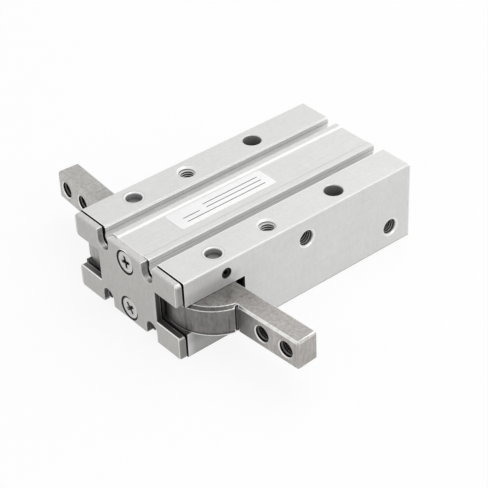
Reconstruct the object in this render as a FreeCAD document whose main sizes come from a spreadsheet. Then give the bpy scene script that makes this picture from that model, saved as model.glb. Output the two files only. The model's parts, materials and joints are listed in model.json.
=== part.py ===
import FreeCAD, Part
import Sketcher
import math
import os
from FreeCAD import Placement, Rotation, Vector

# Pneumatic angular gripper with two fingers that open flat to the sides.
# A piston pulls a cross fork back, and its two rollers run in the cam tracks of the fingers.
# Axes: X across the body, -Y towards the end plate, Z up from the flat underside.
# Each piece is drawn from the middle of the housing's front face, then moved to the part's frame.

doc = FreeCAD.newDocument("angular_gripper")
sheet = doc.addObject("Spreadsheet::Sheet", "sizes")

# Driving dimensions in millimetres and degrees: alias, value, meaning
SIZES = [
    ("bore_wall", 3.0, "housing above and below the cylinder bore"),
    ("corner_round", 0.5, "radius of the long outer edges"),
    ("land_drop", 0.3, "middle strip below the outer strips"),
    ("ledge_width", 2.85, "middle strip beside the label recess"),
    ("recess_depth", 0.35, "label recess below the middle strip"),
    ("recess_slope", 0.8, "breadth of the slope down each side of the label recess"),
    ("groove_offset", 10.4, "sensor groove from the centre line"),
    ("groove_opening", 3.6, "mouth of a sensor groove"),
    ("groove_throat", 1.5, "depth of the groove's straight mouth"),
    ("groove_bore", 4.2, "diameter of the groove's round bottom"),
    ("groove_flare", 0.25, "bevel along the groove's mouth"),
    ("groove_merge", 0.3, "overlap of the groove's straight mouth and round bottom"),
    ("wall_gap", 0.12, "closed cam track's rim from the housing's side wall"),
    ("pivot_diameter", 5.0, "pivot pin"),
    ("pivot_clearance", 0.04, "radial running gap on the pivot pin"),
    ("pivot_recess", 1.8, "pivot pin's ends below the housing's faces"),
    ("pin_fit", 0.05, "radial gap of a pivot pin in the housing"),
    ("pin_bevel", 0.4, "bevel on the ends of the pins"),
    ("edge_break", 0.5, "bevelled mouth of a plain hole, added to its diameter"),
    ("lock_diameter", 2.8, "set screw that locks a pivot pin"),
    ("lock_recess", 0.45, "set screw below the housing's side"),
    ("lock_drop", 3.9, "set screw below the top"),
    ("lock_socket", 1.3, "key size of the set screw"),
    ("lock_gap", 0.1, "set screw's tip from the pivot pin"),
    ("thread_diameter", 5.0, "ports, mounting threads and jaw threads"),
    ("thread_bevel", 1.2, "bevelled mouth of a mounting thread, added to its diameter"),
    ("port_to_thread", 10.1, "tapped holes in the top in front of the front port"),
    ("top_thread_depth", 10.0, "depth of the tapped holes in the top"),
    ("fixing_pitch", 25.5, "tapped hole to through hole along the top"),
    ("through_diameter", 5.8, "through holes"),
    ("rear_thread_depth", 9.0, "tapped holes in the rear face"),
    ("port_depth", 6.2, "threaded depth of a port"),
    ("port_bevel", 0.8, "bevelled mouth of a port, added to its diameter"),
    ("port_passage", 2.5, "air passage from a port to the bore"),
    ("port_drop", 6.85, "ports from the top or the underside"),
    ("front_port_inset", 1.8, "front port behind the front end of the bore"),
    ("rear_port_inset", 1.4, "rear port in front of the rear cap's flange"),
    ("plate_inset", 0.15, "end plate's sides inside the housing's sides"),
    ("plate_thickness", 2.0, "end plate without its rear pad"),
    ("plate_gap", 0.5, "height of the pad that carries the plate on the housing"),
    ("plate_corner", 1.2, "corners of the plate's arms"),
    ("plate_round", 0.4, "edge round of the plate's front face"),
    ("plate_slot_gap", 0.6, "plate's side slots above and below the fingers"),
    ("jaw_gap", 0.6, "plate's side slots from the jaw faces when closed"),
    ("notch_width", 5.0, "plate notch in front of a sensor groove"),
    ("notch_depth", 5.7, "depth of the plate notch"),
    ("slot_setback", 0.2, "housing's finger slot wider than the plate's slot"),
    ("screw_edge", 0.8, "end plate screw heads from the top and the underside"),
    ("screw_diameter", 4.0, "end plate screws"),
    ("screw_head", 7.9, "countersunk head"),
    ("screw_length", 10.0, "overall length of an end plate screw"),
    ("screw_fit", 0.05, "radial gap between a screw and its threaded hole"),
    ("screw_play", 0.2, "radial gap between a screw and the end plate"),
    ("head_play", 0.15, "radial gap round a countersunk head"),
    ("head_sink", 0.1, "screw heads below the plate's face"),
    ("cross_width", 3.4, "cross recess across its wings"),
    ("cross_wing", 0.75, "wing thickness of the cross recess"),
    ("cross_depth", 1.5, "depth of the cross recess"),
    ("finger_thickness", 9.5, "finger height along its pivot"),
    ("finger_gap", 0.15, "gap above and below a finger"),
    ("finger_width", 7.5, "finger arm across its jaw face"),
    ("jaw_offset", 4.7, "jaw face in front of the pivot"),
    ("tip_margin", 4.8, "last jaw thread to finger tip"),
    ("disc_sector", 170.0, "angle of the cam disc from the inner side to the arm"),
    ("disc_rim", 1.42, "cam disc outside the cam track"),
    ("disc_bevel", 1.0, "bevel on the disc's upper edge"),
    ("finger_bevel", 0.55, "bevel on the arm's edges"),
    ("boss_radius", 6.2, "rear boss round the pivot"),
    ("relief_radius", 0.55, "relief where disc and jaw face meet"),
    ("slot_gap", 0.2, "housing slot behind the rear boss"),
    ("disc_gap", 0.35, "housing pocket round the cam disc, and disc behind the front face"),
    ("side_wall", 1.2, "housing wall beside the cam disc"),
    ("jaw_hole_offset", 23.6, "pivot to the first jaw thread"),
    ("jaw_hole_pitch", 9.25, "jaw thread to jaw thread"),
    ("jaw_hole_bevel", 0.6, "bevelled mouth of a jaw thread, added to its diameter"),
    ("sweep_back", 3.8, "arm behind square when open"),
    ("past_parallel", 1.0, "closed fingers past parallel"),
    ("stroke", 8.5, "piston travel"),
    ("roller_inset", 5.8, "roller pin inside the finger pivot"),
    ("roller_lead", 1.0, "roller pin behind the finger pivot when open"),
    ("roller_diameter", 4.0, "cam roller"),
    ("roller_bore_gap", 0.05, "radial running gap of a cam roller on its pin"),
    ("roller_pin", 2.5, "roller pin"),
    ("roller_play", 0.05, "gap at each end of a cam roller"),
    ("track_clearance", 0.1, "gap between roller and cam track"),
    ("track_wall", 0.75, "wall beside the cam track at its inner end"),
    ("fork_plate", 1.85, "thickness of the fork's cheeks"),
    ("fork_depth", 4.6, "fork cheek along the bore axis"),
    ("fork_web", 6.8, "width of the fork's middle web"),
    ("web_gap", 0.45, "fork web from the cam discs"),
    ("fork_tail", 4.5, "fork web behind the roller pins"),
    ("bay_gap", 0.3, "gap round the fork in the housing"),
    ("fork_side_play", 0.15, "gap above and below the fork in the housing"),
    ("fork_stud", 4.0, "rod stud in the fork"),
    ("stud_fit", 0.02, "radial gap of pins and studs in the fork and the piston"),
    ("stud_space", 0.3, "space past the end of the rod stud"),
    ("stud_floor", 1.0, "fork in front of the rod stud's hole"),
    ("rod_diameter", 8.0, "piston rod"),
    ("rod_clearance", 0.05, "radial running gap of the rod"),
    ("gland_wall", 3.7, "wall between fork bay and rod seal"),
    ("rod_seal_width", 3.5, "groove of the rod seal"),
    ("rod_seal_section", 2.4, "radial depth of the rod seal"),
    ("bore_diameter", 20.0, "cylinder bore"),
    ("bore_end_wall", 6.5, "wall between rod seal and cylinder bore"),
    ("damper_thickness", 3.0, "rubber damper"),
    ("damper_band", 2.2, "radial width of the rubber damper"),
    ("damper_gap", 0.3, "piston from its damper when open"),
    ("damper_play", 0.3, "radial gap between damper and rod"),
    ("piston_clearance", 0.06, "radial gap round the piston"),
    ("piston_tail", 6.0, "rod diameter inside the piston"),
    ("band_width", 3.0, "wear ring, along the bore"),
    ("band_depth", 1.2, "groove of the wear ring"),
    ("front_land", 2.4, "piston in front of the wear ring"),
    ("magnet_width", 5.0, "magnet ring, along the bore"),
    ("magnet_depth", 2.2, "groove of the magnet ring"),
    ("magnet_land", 2.0, "piston between wear ring and magnet"),
    ("seal_width", 2.2, "piston seal, along the bore"),
    ("seal_depth", 1.9, "groove of the piston seal"),
    ("seal_land", 2.2, "piston between magnet and seal"),
    ("rear_land", 3.2, "piston behind its seal"),
    ("ring_gap", 0.05, "play of rings and seals in their grooves"),
    ("ring_contact", 0.02, "gap between rings and the bore"),
    ("nut_width", 8.0, "piston nut across flats"),
    ("nut_height", 2.6, "piston nut"),
    ("rod_overhang", 0.4, "rod end past the piston nut"),
    ("pocket_space", 0.4, "piston's rear face behind the rod's end"),
    ("nut_space", 0.88, "piston's rear counterbore round the nut's corners"),
    ("cap_recess", 2.0, "rear cap inside the housing's rear face"),
    ("cap_thickness", 4.4, "flange of the rear cap"),
    ("cap_gap", 0.4, "retracted piston from the cap's nose"),
    ("cap_nose_length", 4.4, "cap's nose in front of its flange"),
    ("cap_nose", 14.0, "diameter of the cap's nose"),
    ("cap_fit", 0.05, "radial gap of the cap in the bore"),
    ("cap_rim", 1.8, "rim round the hollows of the cap"),
    ("cap_hollow", 1.0, "hollow in the cap's nose, behind the flange's front"),
    ("cap_dish", 0.6, "shallow dish in the cap's rear"),
    ("gasket_section", 1.6, "square section of the cap gasket"),
    ("gasket_inset", 1.4, "gasket groove behind the flange's front"),
    ("clip_thickness", 1.0, "snap ring"),
    ("clip_bite", 0.6, "snap ring groove beyond the bore"),
    ("clip_band", 1.5, "radial width of the snap ring"),
    ("clip_opening", 5.0, "gap between the snap ring's ends"),
    ("clip_eye", 2.6, "diameter of the snap ring's eyes"),
    ("clip_hole", 1.3, "holes in the snap ring's eyes"),
    ("clip_lug", 0.8, "how far the eyes' centres stand in from the ring"),
    ("label_left", 0.55, "label from the recess's left edge"),
    ("label_length", 35.6, "name label"),
    ("label_thickness", 0.15, "name label"),
    ("label_setback", 15.9, "name label behind the front face"),
    ("label_right", 2.35, "label from the recess's right edge"),
    ("label_corner", 0.8, "corner radius of the label"),
]


def fill_sheet():
    for row, (alias, number, meaning) in enumerate(SIZES, start=1):
        sheet.set(f"A{row}", alias)
        sheet.set(f"B{row}", str(number))
        sheet.setAlias(f"B{row}", alias)
        sheet.set(f"C{row}", meaning)
    doc.recompute()


fill_sheet()


def number(expression):
    """Value of a sheet expression."""
    return float(sheet.evalExpression(str(expression)))


# Sizes and places worked out from the driving dimensions, in the frame of the housing's front face
BORE_RADIUS = "(sizes.bore_diameter / 2)"
HALF_HEIGHT = f"({BORE_RADIUS} + sizes.bore_wall)"
BODY_HEIGHT = f"(2 * {HALF_HEIGHT})"
TRACK_RADIUS = "(sizes.roller_diameter / 2 + sizes.track_clearance)"
ROLLER_SWING = "sqrt(sizes.roller_inset ^ 2 + (sizes.roller_lead + sizes.stroke) ^ 2)"
DISC_RADIUS = f"({ROLLER_SWING} + {TRACK_RADIUS} + sizes.disc_rim)"
PIVOT_X = f"(sizes.fork_web / 2 + sizes.web_gap + {DISC_RADIUS})"
PIVOT_Y = f"({DISC_RADIUS} + sizes.disc_gap)"
CLOSING_ANGLE = "(90 + sizes.sweep_back + sizes.past_parallel)"
TRACK_SIDE = (f"(sizes.roller_lead * sin({CLOSING_ANGLE}) - sizes.roller_inset * "
              f"cos({CLOSING_ANGLE}) + {TRACK_RADIUS} + sizes.track_wall)")
WALL_X = f"({PIVOT_X} + {TRACK_SIDE} + sizes.wall_gap)"
HALF_WIDTH = f"({WALL_X} + sizes.side_wall)"
LAND_TOP = f"({HALF_HEIGHT} - sizes.land_drop)"
RECESS_FLOOR = f"({LAND_TOP} - sizes.recess_depth)"
LAND_HALF = "(sizes.groove_offset - sizes.groove_opening / 2)"
RECESS_HALF = f"({LAND_HALF} - sizes.ledge_width)"
FINGER_SLOT = "(sizes.finger_thickness + 2 * sizes.finger_gap)"
FINGER_REACH = "(sizes.jaw_hole_offset + sizes.jaw_hole_pitch + sizes.tip_margin)"
SLOT_REAR = f"({PIVOT_Y} + sizes.boss_radius + sizes.slot_gap)"
PLATE_HALF = f"({HALF_WIDTH} - sizes.plate_inset)"
PLATE_SLOT_X = f"({PIVOT_X} - sizes.jaw_offset - sizes.jaw_gap)"
PLATE_SLOT_HEIGHT = "(sizes.finger_thickness + 2 * sizes.plate_slot_gap)"
SCREW_Z = f"({HALF_HEIGHT} - sizes.screw_head / 2 - sizes.screw_edge)"
LOCK_Z = f"({HALF_HEIGHT} - sizes.lock_drop)"
LOCK_TIP = f"({PIVOT_X} + sizes.pivot_diameter / 2 + sizes.lock_gap)"
LOCK_LENGTH = f"({HALF_WIDTH} - {LOCK_TIP} - sizes.lock_recess)"
ROLLER_X = f"({PIVOT_X} - sizes.roller_inset)"
ROLLER_Y = f"({PIVOT_Y} + sizes.roller_lead)"
FORK_HEIGHT = f"({FINGER_SLOT} + 2 * sizes.fork_plate)"
FORK_HALF = f"({ROLLER_X} + sizes.fork_depth / 2)"
FORK_REAR = f"({ROLLER_Y} + sizes.fork_tail)"
STUD_LENGTH = "(sizes.fork_depth / 2 + sizes.fork_tail - sizes.stud_space - sizes.stud_floor)"
BAY_FRONT = f"({ROLLER_Y} - sizes.fork_depth / 2 - sizes.bay_gap)"
BAY_REAR = f"({FORK_REAR} + sizes.stroke + sizes.bay_gap)"
ROD_SEAL_Y = f"({BAY_REAR} + sizes.gland_wall)"
ROD_SEAL_RADIUS = "(sizes.rod_diameter / 2 + sizes.rod_seal_section)"
BORE_FRONT = f"({ROD_SEAL_Y} + sizes.rod_seal_width + sizes.bore_end_wall)"
DAMPER_RADIUS = "(sizes.rod_diameter / 2 + sizes.damper_play + sizes.damper_band)"
PISTON_FRONT = f"({BORE_FRONT} + sizes.damper_thickness + sizes.damper_gap)"
BAND_Y = f"({PISTON_FRONT} + sizes.front_land)"
MAGNET_Y = f"({BAND_Y} + sizes.band_width + sizes.magnet_land)"
SEAL_Y = f"({MAGNET_Y} + sizes.magnet_width + sizes.seal_land)"
PISTON_REAR = f"({SEAL_Y} + sizes.seal_width + sizes.rear_land)"
NUT_SEAT = f"({PISTON_REAR} - sizes.pocket_space - sizes.rod_overhang - sizes.nut_height)"
NUT_CORNER = "(sizes.nut_width / sqrt(3))"
NOSE_FRONT = f"({PISTON_REAR} + sizes.stroke + sizes.cap_gap)"
FLANGE_FRONT = f"({NOSE_FRONT} + sizes.cap_nose_length)"
CLIP_FRONT = f"({FLANGE_FRONT} + sizes.cap_thickness)"
BODY_LENGTH = f"({CLIP_FRONT} + sizes.cap_recess)"
FRONT_PORT_Y = f"({BORE_FRONT} + sizes.front_port_inset)"
REAR_PORT_Y = f"({FLANGE_FRONT} - sizes.rear_port_inset)"
PORT_Z = f"({HALF_HEIGHT} - sizes.port_drop)"
TOP_THREAD_Y = f"({FRONT_PORT_Y} - sizes.port_to_thread)"
THROUGH_Y = f"({TOP_THREAD_Y} + sizes.fixing_pitch)"
CAP_RADIUS = f"({BORE_RADIUS} - sizes.cap_fit)"
PISTON_RADIUS = f"({BORE_RADIUS} - sizes.piston_clearance)"
RING_RADIUS = f"({BORE_RADIUS} - sizes.ring_contact)"

# From that frame to the part's own, which stands on the middle of its box
FRONT = f"(sizes.plate_gap + sizes.plate_thickness - {BODY_LENGTH}) / 2"
AXIS = HALF_HEIGHT

# How far a cutter runs past the surface it opens
PAST = "1"

nodes = []


def keep(piece, name):
    """Label a finished piece and list it as one of the gripper's nodes."""
    piece.Label = name
    nodes.append(piece)
    return piece


def place(piece, x="0", y="0", z="0"):
    """Move a finished piece from the front-face frame to the part's frame."""
    piece.setExpression("Placement.Base.x", x)
    piece.setExpression("Placement.Base.y", f"{FRONT} + {y}")
    piece.setExpression("Placement.Base.z", f"{AXIS} + {z}")
    return piece


def origin_plane(body, role):
    return [item for item in body.Origin.OriginFeatures if item.Role == role][0]


def new_sketch(body, name, role, offset=None, turn=None):
    """Sketch on one of the body's own origin planes."""
    sketch = body.newObject("Sketcher::SketchObject", name)
    sketch.AttachmentSupport = [(origin_plane(body, role), "")]
    sketch.MapMode = "FlatFace"
    if turn:
        sketch.AttachmentOffset = Placement(Vector(), turn)
    if offset:
        sketch.setExpression("AttachmentOffset.Base.z", offset)
    return sketch


def bind_point(sketch, edge, end, x, y):
    """Tie one end of a sketch edge to two sheet expressions."""
    for kind, place_expression in (("DistanceX", x), ("DistanceY", y)):
        constraint = Sketcher.Constraint(kind, -1, 1, edge, end, number(place_expression))
        index = sketch.addConstraint(constraint)
        sketch.setExpression(f"Constraints[{index}]", place_expression)


def add_outline(sketch, points):
    """Closed outline of straight lines through points given as pairs of expressions."""
    corners = [Vector(number(x), number(y), 0) for x, y in points]
    first = sketch.GeometryCount
    count = len(points)
    for index in range(count):
        sketch.addGeometry(Part.LineSegment(corners[index], corners[(index + 1) % count]), False)
    for index in range(count):
        following = first + (index + 1) % count
        sketch.addConstraint(Sketcher.Constraint("Coincident", first + index, 2, following, 1))
    for index, (x, y) in enumerate(points):
        bind_point(sketch, first + index, 1, x, y)


def add_rectangle(sketch, left, right, low, high):
    add_outline(sketch, [(left, low), (right, low), (right, high), (left, high)])


def add_circle(sketch, x, y, radius):
    circle = Part.Circle(Vector(number(x), number(y), 0), Vector(0, 0, 1), number(radius))
    edge = sketch.addGeometry(circle, False)
    bind_point(sketch, edge, 3, x, y)
    index = sketch.addConstraint(Sketcher.Constraint("Radius", edge, number(radius)))
    sketch.setExpression(f"Constraints[{index}]", radius)


def add_pad(body, sketch, length, backwards=False, both_ways=False):
    pad = body.newObject("PartDesign::Pad", sketch.Name + "_pad")
    pad.Profile = sketch
    pad.Reversed = backwards
    pad.Midplane = both_ways
    pad.setExpression("Length", length)
    sketch.Visibility = False
    return pad


def add_pocket(body, sketch, length, both_ways=False):
    pocket = body.newObject("PartDesign::Pocket", sketch.Name + "_pocket")
    pocket.Profile = sketch
    pocket.Midplane = both_ways
    pocket.setExpression("Length", length)
    sketch.Visibility = False
    return pocket


def add_hole(body, sketch, diameter, depth, mouth=None):
    """Drilled holes at the sketch's circles, with a bevelled mouth if a width is given."""
    doc.recompute()
    hole = body.newObject("PartDesign::Hole", sketch.Name + "_hole")
    hole.Profile = sketch
    doc.recompute()
    hole.ThreadType = "None"
    hole.DepthType = "Dimension"
    hole.DrillPoint = "Flat"
    hole.setExpression("Diameter", diameter)
    hole.setExpression("Depth", depth)
    doc.recompute()
    if mouth:
        hole.HoleCutType = "Countersink"
        hole.HoleCutCustomValues = True
        hole.HoleCutCountersinkAngle = 90
        hole.setExpression("HoleCutDiameter", mouth)
    doc.recompute()
    return hole


def revolve_about_y(body, sketch, cutting=False):
    """Turn a half profile, drawn as radius and place along the bore axis."""
    kind = "PartDesign::Groove" if cutting else "PartDesign::Revolution"
    feature = body.newObject(kind, sketch.Name + "_turned")
    feature.Profile = sketch
    feature.ReferenceAxis = (sketch, ["V_Axis"])
    feature.Angle = 360
    return feature


def edges_where(feature, test):
    """Names of the feature's edges whose end points all pass the test."""
    doc.recompute()
    found = []
    for index, edge in enumerate(feature.Shape.Edges, start=1):
        if all(test(vertex.Point) for vertex in edge.Vertexes):
            found.append(f"Edge{index}")
    return found


def near(first, second):
    return abs(first - second) < 1e-4


def round_edges(body, base, names, radius):
    fillet = body.newObject("PartDesign::Fillet", base.Name + "_round")
    fillet.Base = (base, names)
    fillet.setExpression("Radius", radius)
    return fillet


def turned_piece(name, points):
    """Piece of revolution about the bore axis, from pairs of radius and place expressions."""
    body = doc.addObject("PartDesign::Body", name + "_body")
    sketch = new_sketch(body, name + "_profile", "XY_Plane")
    add_outline(sketch, points)
    revolve_about_y(body, sketch)
    place(body)
    return keep(body, name)


def band(inner, outer, start, end):
    """Half profile of a plain ring."""
    return [(inner, start), (outer, start), (outer, end), (inner, end)]


def box(name, x, y, z, length, width, height):
    piece = doc.addObject("Part::Box", name)
    for target, expression in (("Length", length), ("Width", width), ("Height", height)):
        piece.setExpression(target, expression)
    for axis, expression in (("x", x), ("y", y), ("z", z)):
        piece.setExpression(f"Placement.Base.{axis}", expression)
    return piece


def cylinder(name, radius, height, x="0", y="0", z="0", turn=None):
    piece = doc.addObject("Part::Cylinder", name)
    if turn:
        piece.Placement = Placement(Vector(), turn)
    piece.setExpression("Radius", radius)
    piece.setExpression("Height", height)
    for axis, expression in (("x", x), ("y", y), ("z", z)):
        piece.setExpression(f"Placement.Base.{axis}", expression)
    return piece


def cone(name, lower, upper, height, x="0", y="0", z="0", turn=None):
    piece = doc.addObject("Part::Cone", name)
    if turn:
        piece.Placement = Placement(Vector(), turn)
    piece.setExpression("Radius1", lower)
    piece.setExpression("Radius2", upper)
    piece.setExpression("Height", height)
    for axis, expression in (("x", x), ("y", y), ("z", z)):
        piece.setExpression(f"Placement.Base.{axis}", expression)
    return piece


def fuse(name, pieces):
    joined = doc.addObject("Part::MultiFuse", name)
    joined.Shapes = pieces
    joined.Refine = True
    return joined


def cut(name, base, tools):
    tool = tools[0] if len(tools) == 1 else fuse(name + "_tools", tools)
    result = doc.addObject("Part::Cut", name)
    result.Base = base
    result.Tool = tool
    return result


def mirror_piece(piece, name):
    """The left one of a pair, mirrored in the gripper's middle plane."""
    mirrored = doc.addObject("Part::Mirroring", name + "_mirror")
    mirrored.Source = piece
    mirrored.Normal = Vector(1, 0, 0)
    mirrored.Base = Vector(0, 0, 0)
    return keep(mirrored, name)


ALONG_Y = Rotation(Vector(1, 0, 0), -90)
ALONG_X = Rotation(Vector(0, 1, 0), 90)
FACING_REAR = Rotation(Vector(0, 1, 0), 180)


def make_housing():
    """Extruded body with sensor grooves, finger pockets, fork bay, bore, ports and mounting holes."""
    body = doc.addObject("PartDesign::Body", "housing_body")
    stock = new_sketch(body, "stock", "XZ_Plane")
    add_rectangle(stock, f"-{HALF_WIDTH}", HALF_WIDTH, f"-{HALF_HEIGHT}", HALF_HEIGHT)
    pad = add_pad(body, stock, BODY_LENGTH, backwards=True)
    half_width = number(HALF_WIDTH)
    long_edges = edges_where(pad, lambda p: near(abs(p.x), half_width))
    long_edges = [name for name in long_edges if is_along_y(pad, name)]
    round_edges(body, pad, long_edges, "sizes.corner_round")

    land = new_sketch(body, "land", "XZ_Plane")
    recess = new_sketch(body, "recess", "XZ_Plane")
    for side in ("", "-"):
        edge = f"{side}({HALF_HEIGHT} + {PAST})"
        add_rectangle(land, f"-{LAND_HALF}", LAND_HALF, side + LAND_TOP, edge)
        brink = f"({RECESS_HALF} + sizes.recess_slope)"
        points = [
            (f"-{RECESS_HALF}", side + RECESS_FLOOR),
            (RECESS_HALF, side + RECESS_FLOOR),
            (brink, side + LAND_TOP),
            (brink, edge),
            (f"-{brink}", edge),
            (f"-{brink}", side + LAND_TOP),
        ]
        add_outline(recess, points)
    add_pocket(body, land, BODY_LENGTH)
    add_pocket(body, recess, BODY_LENGTH)

    throat = new_sketch(body, "groove_throat", "XZ_Plane")
    bottom = new_sketch(body, "groove_bottom", "XZ_Plane")
    floor = f"({HALF_HEIGHT} - sizes.groove_throat)"
    centre = f"({floor} - sizes.groove_bore / 2 + sizes.groove_merge)"
    for across in ("", "-"):
        for up in ("", "-"):
            middle = f"{across}sizes.groove_offset"
            narrow = "sizes.groove_opening / 2"
            wide = f"({narrow} + sizes.groove_flare)"
            lip = f"({LAND_TOP} - sizes.groove_flare)"
            points = [
                (f"{middle} - {narrow}", up + centre),
                (f"{middle} - {narrow}", up + lip),
                (f"{middle} - {wide}", up + LAND_TOP),
                (f"{middle} - {wide}", f"{up}({HALF_HEIGHT} + {PAST})"),
                (f"{middle} + {wide}", f"{up}({HALF_HEIGHT} + {PAST})"),
                (f"{middle} + {wide}", up + LAND_TOP),
                (f"{middle} + {narrow}", up + lip),
                (f"{middle} + {narrow}", up + centre),
            ]
            add_outline(throat, points)
            add_circle(bottom, middle, up + centre, "sizes.groove_bore / 2")
    add_pocket(body, throat, BODY_LENGTH)
    add_pocket(body, bottom, BODY_LENGTH)

    discs = new_sketch(body, "disc_pockets", "XY_Plane")
    for side in (1, -1):
        add_disc_outline(discs, side)
    add_pocket(body, discs, FINGER_SLOT, both_ways=True)

    slots = new_sketch(body, "side_slots", "XY_Plane")
    inner = f"({PLATE_SLOT_X} - sizes.slot_setback)"
    outer = f"({HALF_WIDTH} + {PAST})"
    add_rectangle(slots, inner, outer, f"-{PAST}", SLOT_REAR)
    add_rectangle(slots, f"-{outer}", f"-{inner}", f"-{PAST}", SLOT_REAR)
    add_pocket(body, slots, FINGER_SLOT, both_ways=True)

    bay = new_sketch(body, "fork_bay", "XY_Plane")
    reach = f"({FORK_HALF} + sizes.bay_gap)"
    add_rectangle(bay, f"-{reach}", reach, BAY_FRONT, BAY_REAR)
    add_pocket(body, bay, f"{FORK_HEIGHT} + 2 * sizes.fork_side_play", both_ways=True)

    bore = new_sketch(body, "bore_profile", "XY_Plane")
    rod_hole = "(sizes.rod_diameter / 2 + sizes.rod_clearance)"
    groove = f"({BORE_RADIUS} + sizes.clip_bite)"
    seal = ROD_SEAL_RADIUS
    seal_end = f"{ROD_SEAL_Y} + sizes.rod_seal_width"
    clip_end = f"{CLIP_FRONT} + sizes.clip_thickness"
    profile = [
        ("0", f"{BAY_REAR} - {PAST}"),
        (rod_hole, f"{BAY_REAR} - {PAST}"),
        (rod_hole, ROD_SEAL_Y),
        (seal, ROD_SEAL_Y),
        (seal, seal_end),
        (rod_hole, seal_end),
        (rod_hole, BORE_FRONT),
        (BORE_RADIUS, BORE_FRONT),
        (BORE_RADIUS, CLIP_FRONT),
        (groove, CLIP_FRONT),
        (groove, clip_end),
        (BORE_RADIUS, clip_end),
        (BORE_RADIUS, f"{BODY_LENGTH} + {PAST}"),
        ("0", f"{BODY_LENGTH} + {PAST}"),
    ]
    add_outline(bore, profile)
    revolve_about_y(body, bore, cutting=True)

    drill_housing(body)
    place(body)
    return keep(body, "housing")


def is_along_y(feature, name):
    edge = feature.Shape.getElement(name)
    return edge.BoundBox.YLength > edge.BoundBox.XLength + edge.BoundBox.ZLength


def add_disc_outline(sketch, side):
    """Round pocket for a finger's disc, cut off flat by the housing's side wall."""
    radius = number(f"{DISC_RADIUS} + sizes.disc_gap")
    centre_x = side * number(PIVOT_X)
    centre_y = number(PIVOT_Y)
    wall_x = side * number(WALL_X)
    half_chord = math.sqrt(radius ** 2 - (wall_x - centre_x) ** 2)
    swing = math.atan2(half_chord, abs(wall_x - centre_x))
    circle = Part.Circle(Vector(centre_x, centre_y, 0), Vector(0, 0, 1), radius)
    if side > 0:
        arc = Part.ArcOfCircle(circle, swing, 2 * math.pi - swing)
    else:
        arc = Part.ArcOfCircle(circle, swing - math.pi, math.pi - swing)
    arc_edge = sketch.addGeometry(arc, False)
    start = arc.StartPoint
    end = arc.EndPoint
    line_edge = sketch.addGeometry(Part.LineSegment(end, start), False)
    sketch.addConstraint(Sketcher.Constraint("Coincident", arc_edge, 2, line_edge, 1))
    sketch.addConstraint(Sketcher.Constraint("Coincident", line_edge, 2, arc_edge, 1))
    sign = "" if side > 0 else "-"
    bind_point(sketch, arc_edge, 3, f"{sign}{PIVOT_X}", PIVOT_Y)
    index = sketch.addConstraint(Sketcher.Constraint("Radius", arc_edge, radius))
    sketch.setExpression(f"Constraints[{index}]", f"{DISC_RADIUS} + sizes.disc_gap")
    sketch.addConstraint(Sketcher.Constraint("Vertical", line_edge))
    index = sketch.addConstraint(Sketcher.Constraint("DistanceX", -1, 1, line_edge, 1, wall_x))
    sketch.setExpression(f"Constraints[{index}]", f"{sign}{WALL_X}")


def drill_housing(body):
    """Pivot bores, mounting holes, ports and the set screw holes."""
    pivots = new_sketch(body, "pivot_bores", "XY_Plane", offset=HALF_HEIGHT)
    tapped = new_sketch(body, "top_threads", "XY_Plane", offset=HALF_HEIGHT)
    through = new_sketch(body, "through_holes", "XY_Plane", offset=HALF_HEIGHT)
    rear = new_sketch(body, "rear_threads", "XZ_Plane", offset=f"-{BODY_LENGTH}",
                      turn=FACING_REAR)
    for sign in ("", "-"):
        x = f"{sign}{PIVOT_X}"
        add_circle(pivots, x, PIVOT_Y, "sizes.pivot_diameter / 2")
        add_circle(tapped, x, TOP_THREAD_Y, "sizes.thread_diameter / 2")
        add_circle(through, x, THROUGH_Y, "sizes.through_diameter / 2")
        add_circle(rear, x, "0", "sizes.thread_diameter / 2")
    add_hole(body, pivots, "sizes.pivot_diameter + 2 * sizes.pin_fit",
             f"{BODY_HEIGHT} + {PAST}",
             mouth="sizes.pivot_diameter + 2 * sizes.pin_fit + sizes.edge_break")
    add_hole(body, tapped, "sizes.thread_diameter", "sizes.top_thread_depth",
             mouth="sizes.thread_diameter + sizes.thread_bevel")
    add_hole(body, through, "sizes.through_diameter", f"{BODY_HEIGHT} + {PAST}",
             mouth="sizes.through_diameter + sizes.edge_break")
    add_hole(body, rear, "sizes.thread_diameter", "sizes.rear_thread_depth",
             mouth="sizes.thread_diameter + sizes.thread_bevel")

    screws = new_sketch(body, "plate_screw_holes", "XZ_Plane")
    for sign in ("", "-"):
        add_circle(screws, "0", f"{sign}{SCREW_Z}", "sizes.screw_diameter / 2")
    add_hole(body, screws, "sizes.screw_diameter + 2 * sizes.screw_fit", "sizes.screw_length")

    ports = new_sketch(body, "ports", "YZ_Plane", offset=HALF_WIDTH)
    passages = new_sketch(body, "port_passages", "YZ_Plane", offset=HALF_WIDTH)
    for y, z in ((FRONT_PORT_Y, PORT_Z), (REAR_PORT_Y, f"-{PORT_Z}")):
        add_circle(ports, y, z, "sizes.thread_diameter / 2")
        add_circle(passages, y, z, "sizes.port_passage / 2")
    add_hole(body, ports, "sizes.thread_diameter", "sizes.port_depth",
             mouth="sizes.thread_diameter + sizes.port_bevel")
    add_pocket(body, passages, f"{HALF_WIDTH} - {BORE_RADIUS} / 2")

    locks = new_sketch(body, "lock_holes", "YZ_Plane", offset=HALF_WIDTH)
    add_circle(locks, PIVOT_Y, LOCK_Z, "sizes.lock_diameter / 2")
    lock = add_hole(body, locks, "sizes.lock_diameter + 2 * sizes.screw_fit",
                    f"{HALF_WIDTH} - {PIVOT_X}",
                    mouth="sizes.lock_diameter + sizes.edge_break")
    mirrored = body.newObject("PartDesign::Mirrored", "lock_holes_mirror")
    mirrored.Originals = [lock]
    mirrored.MirrorPlane = (origin_plane(body, "YZ_Plane"), [""])
    body.Tip = mirrored


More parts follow.
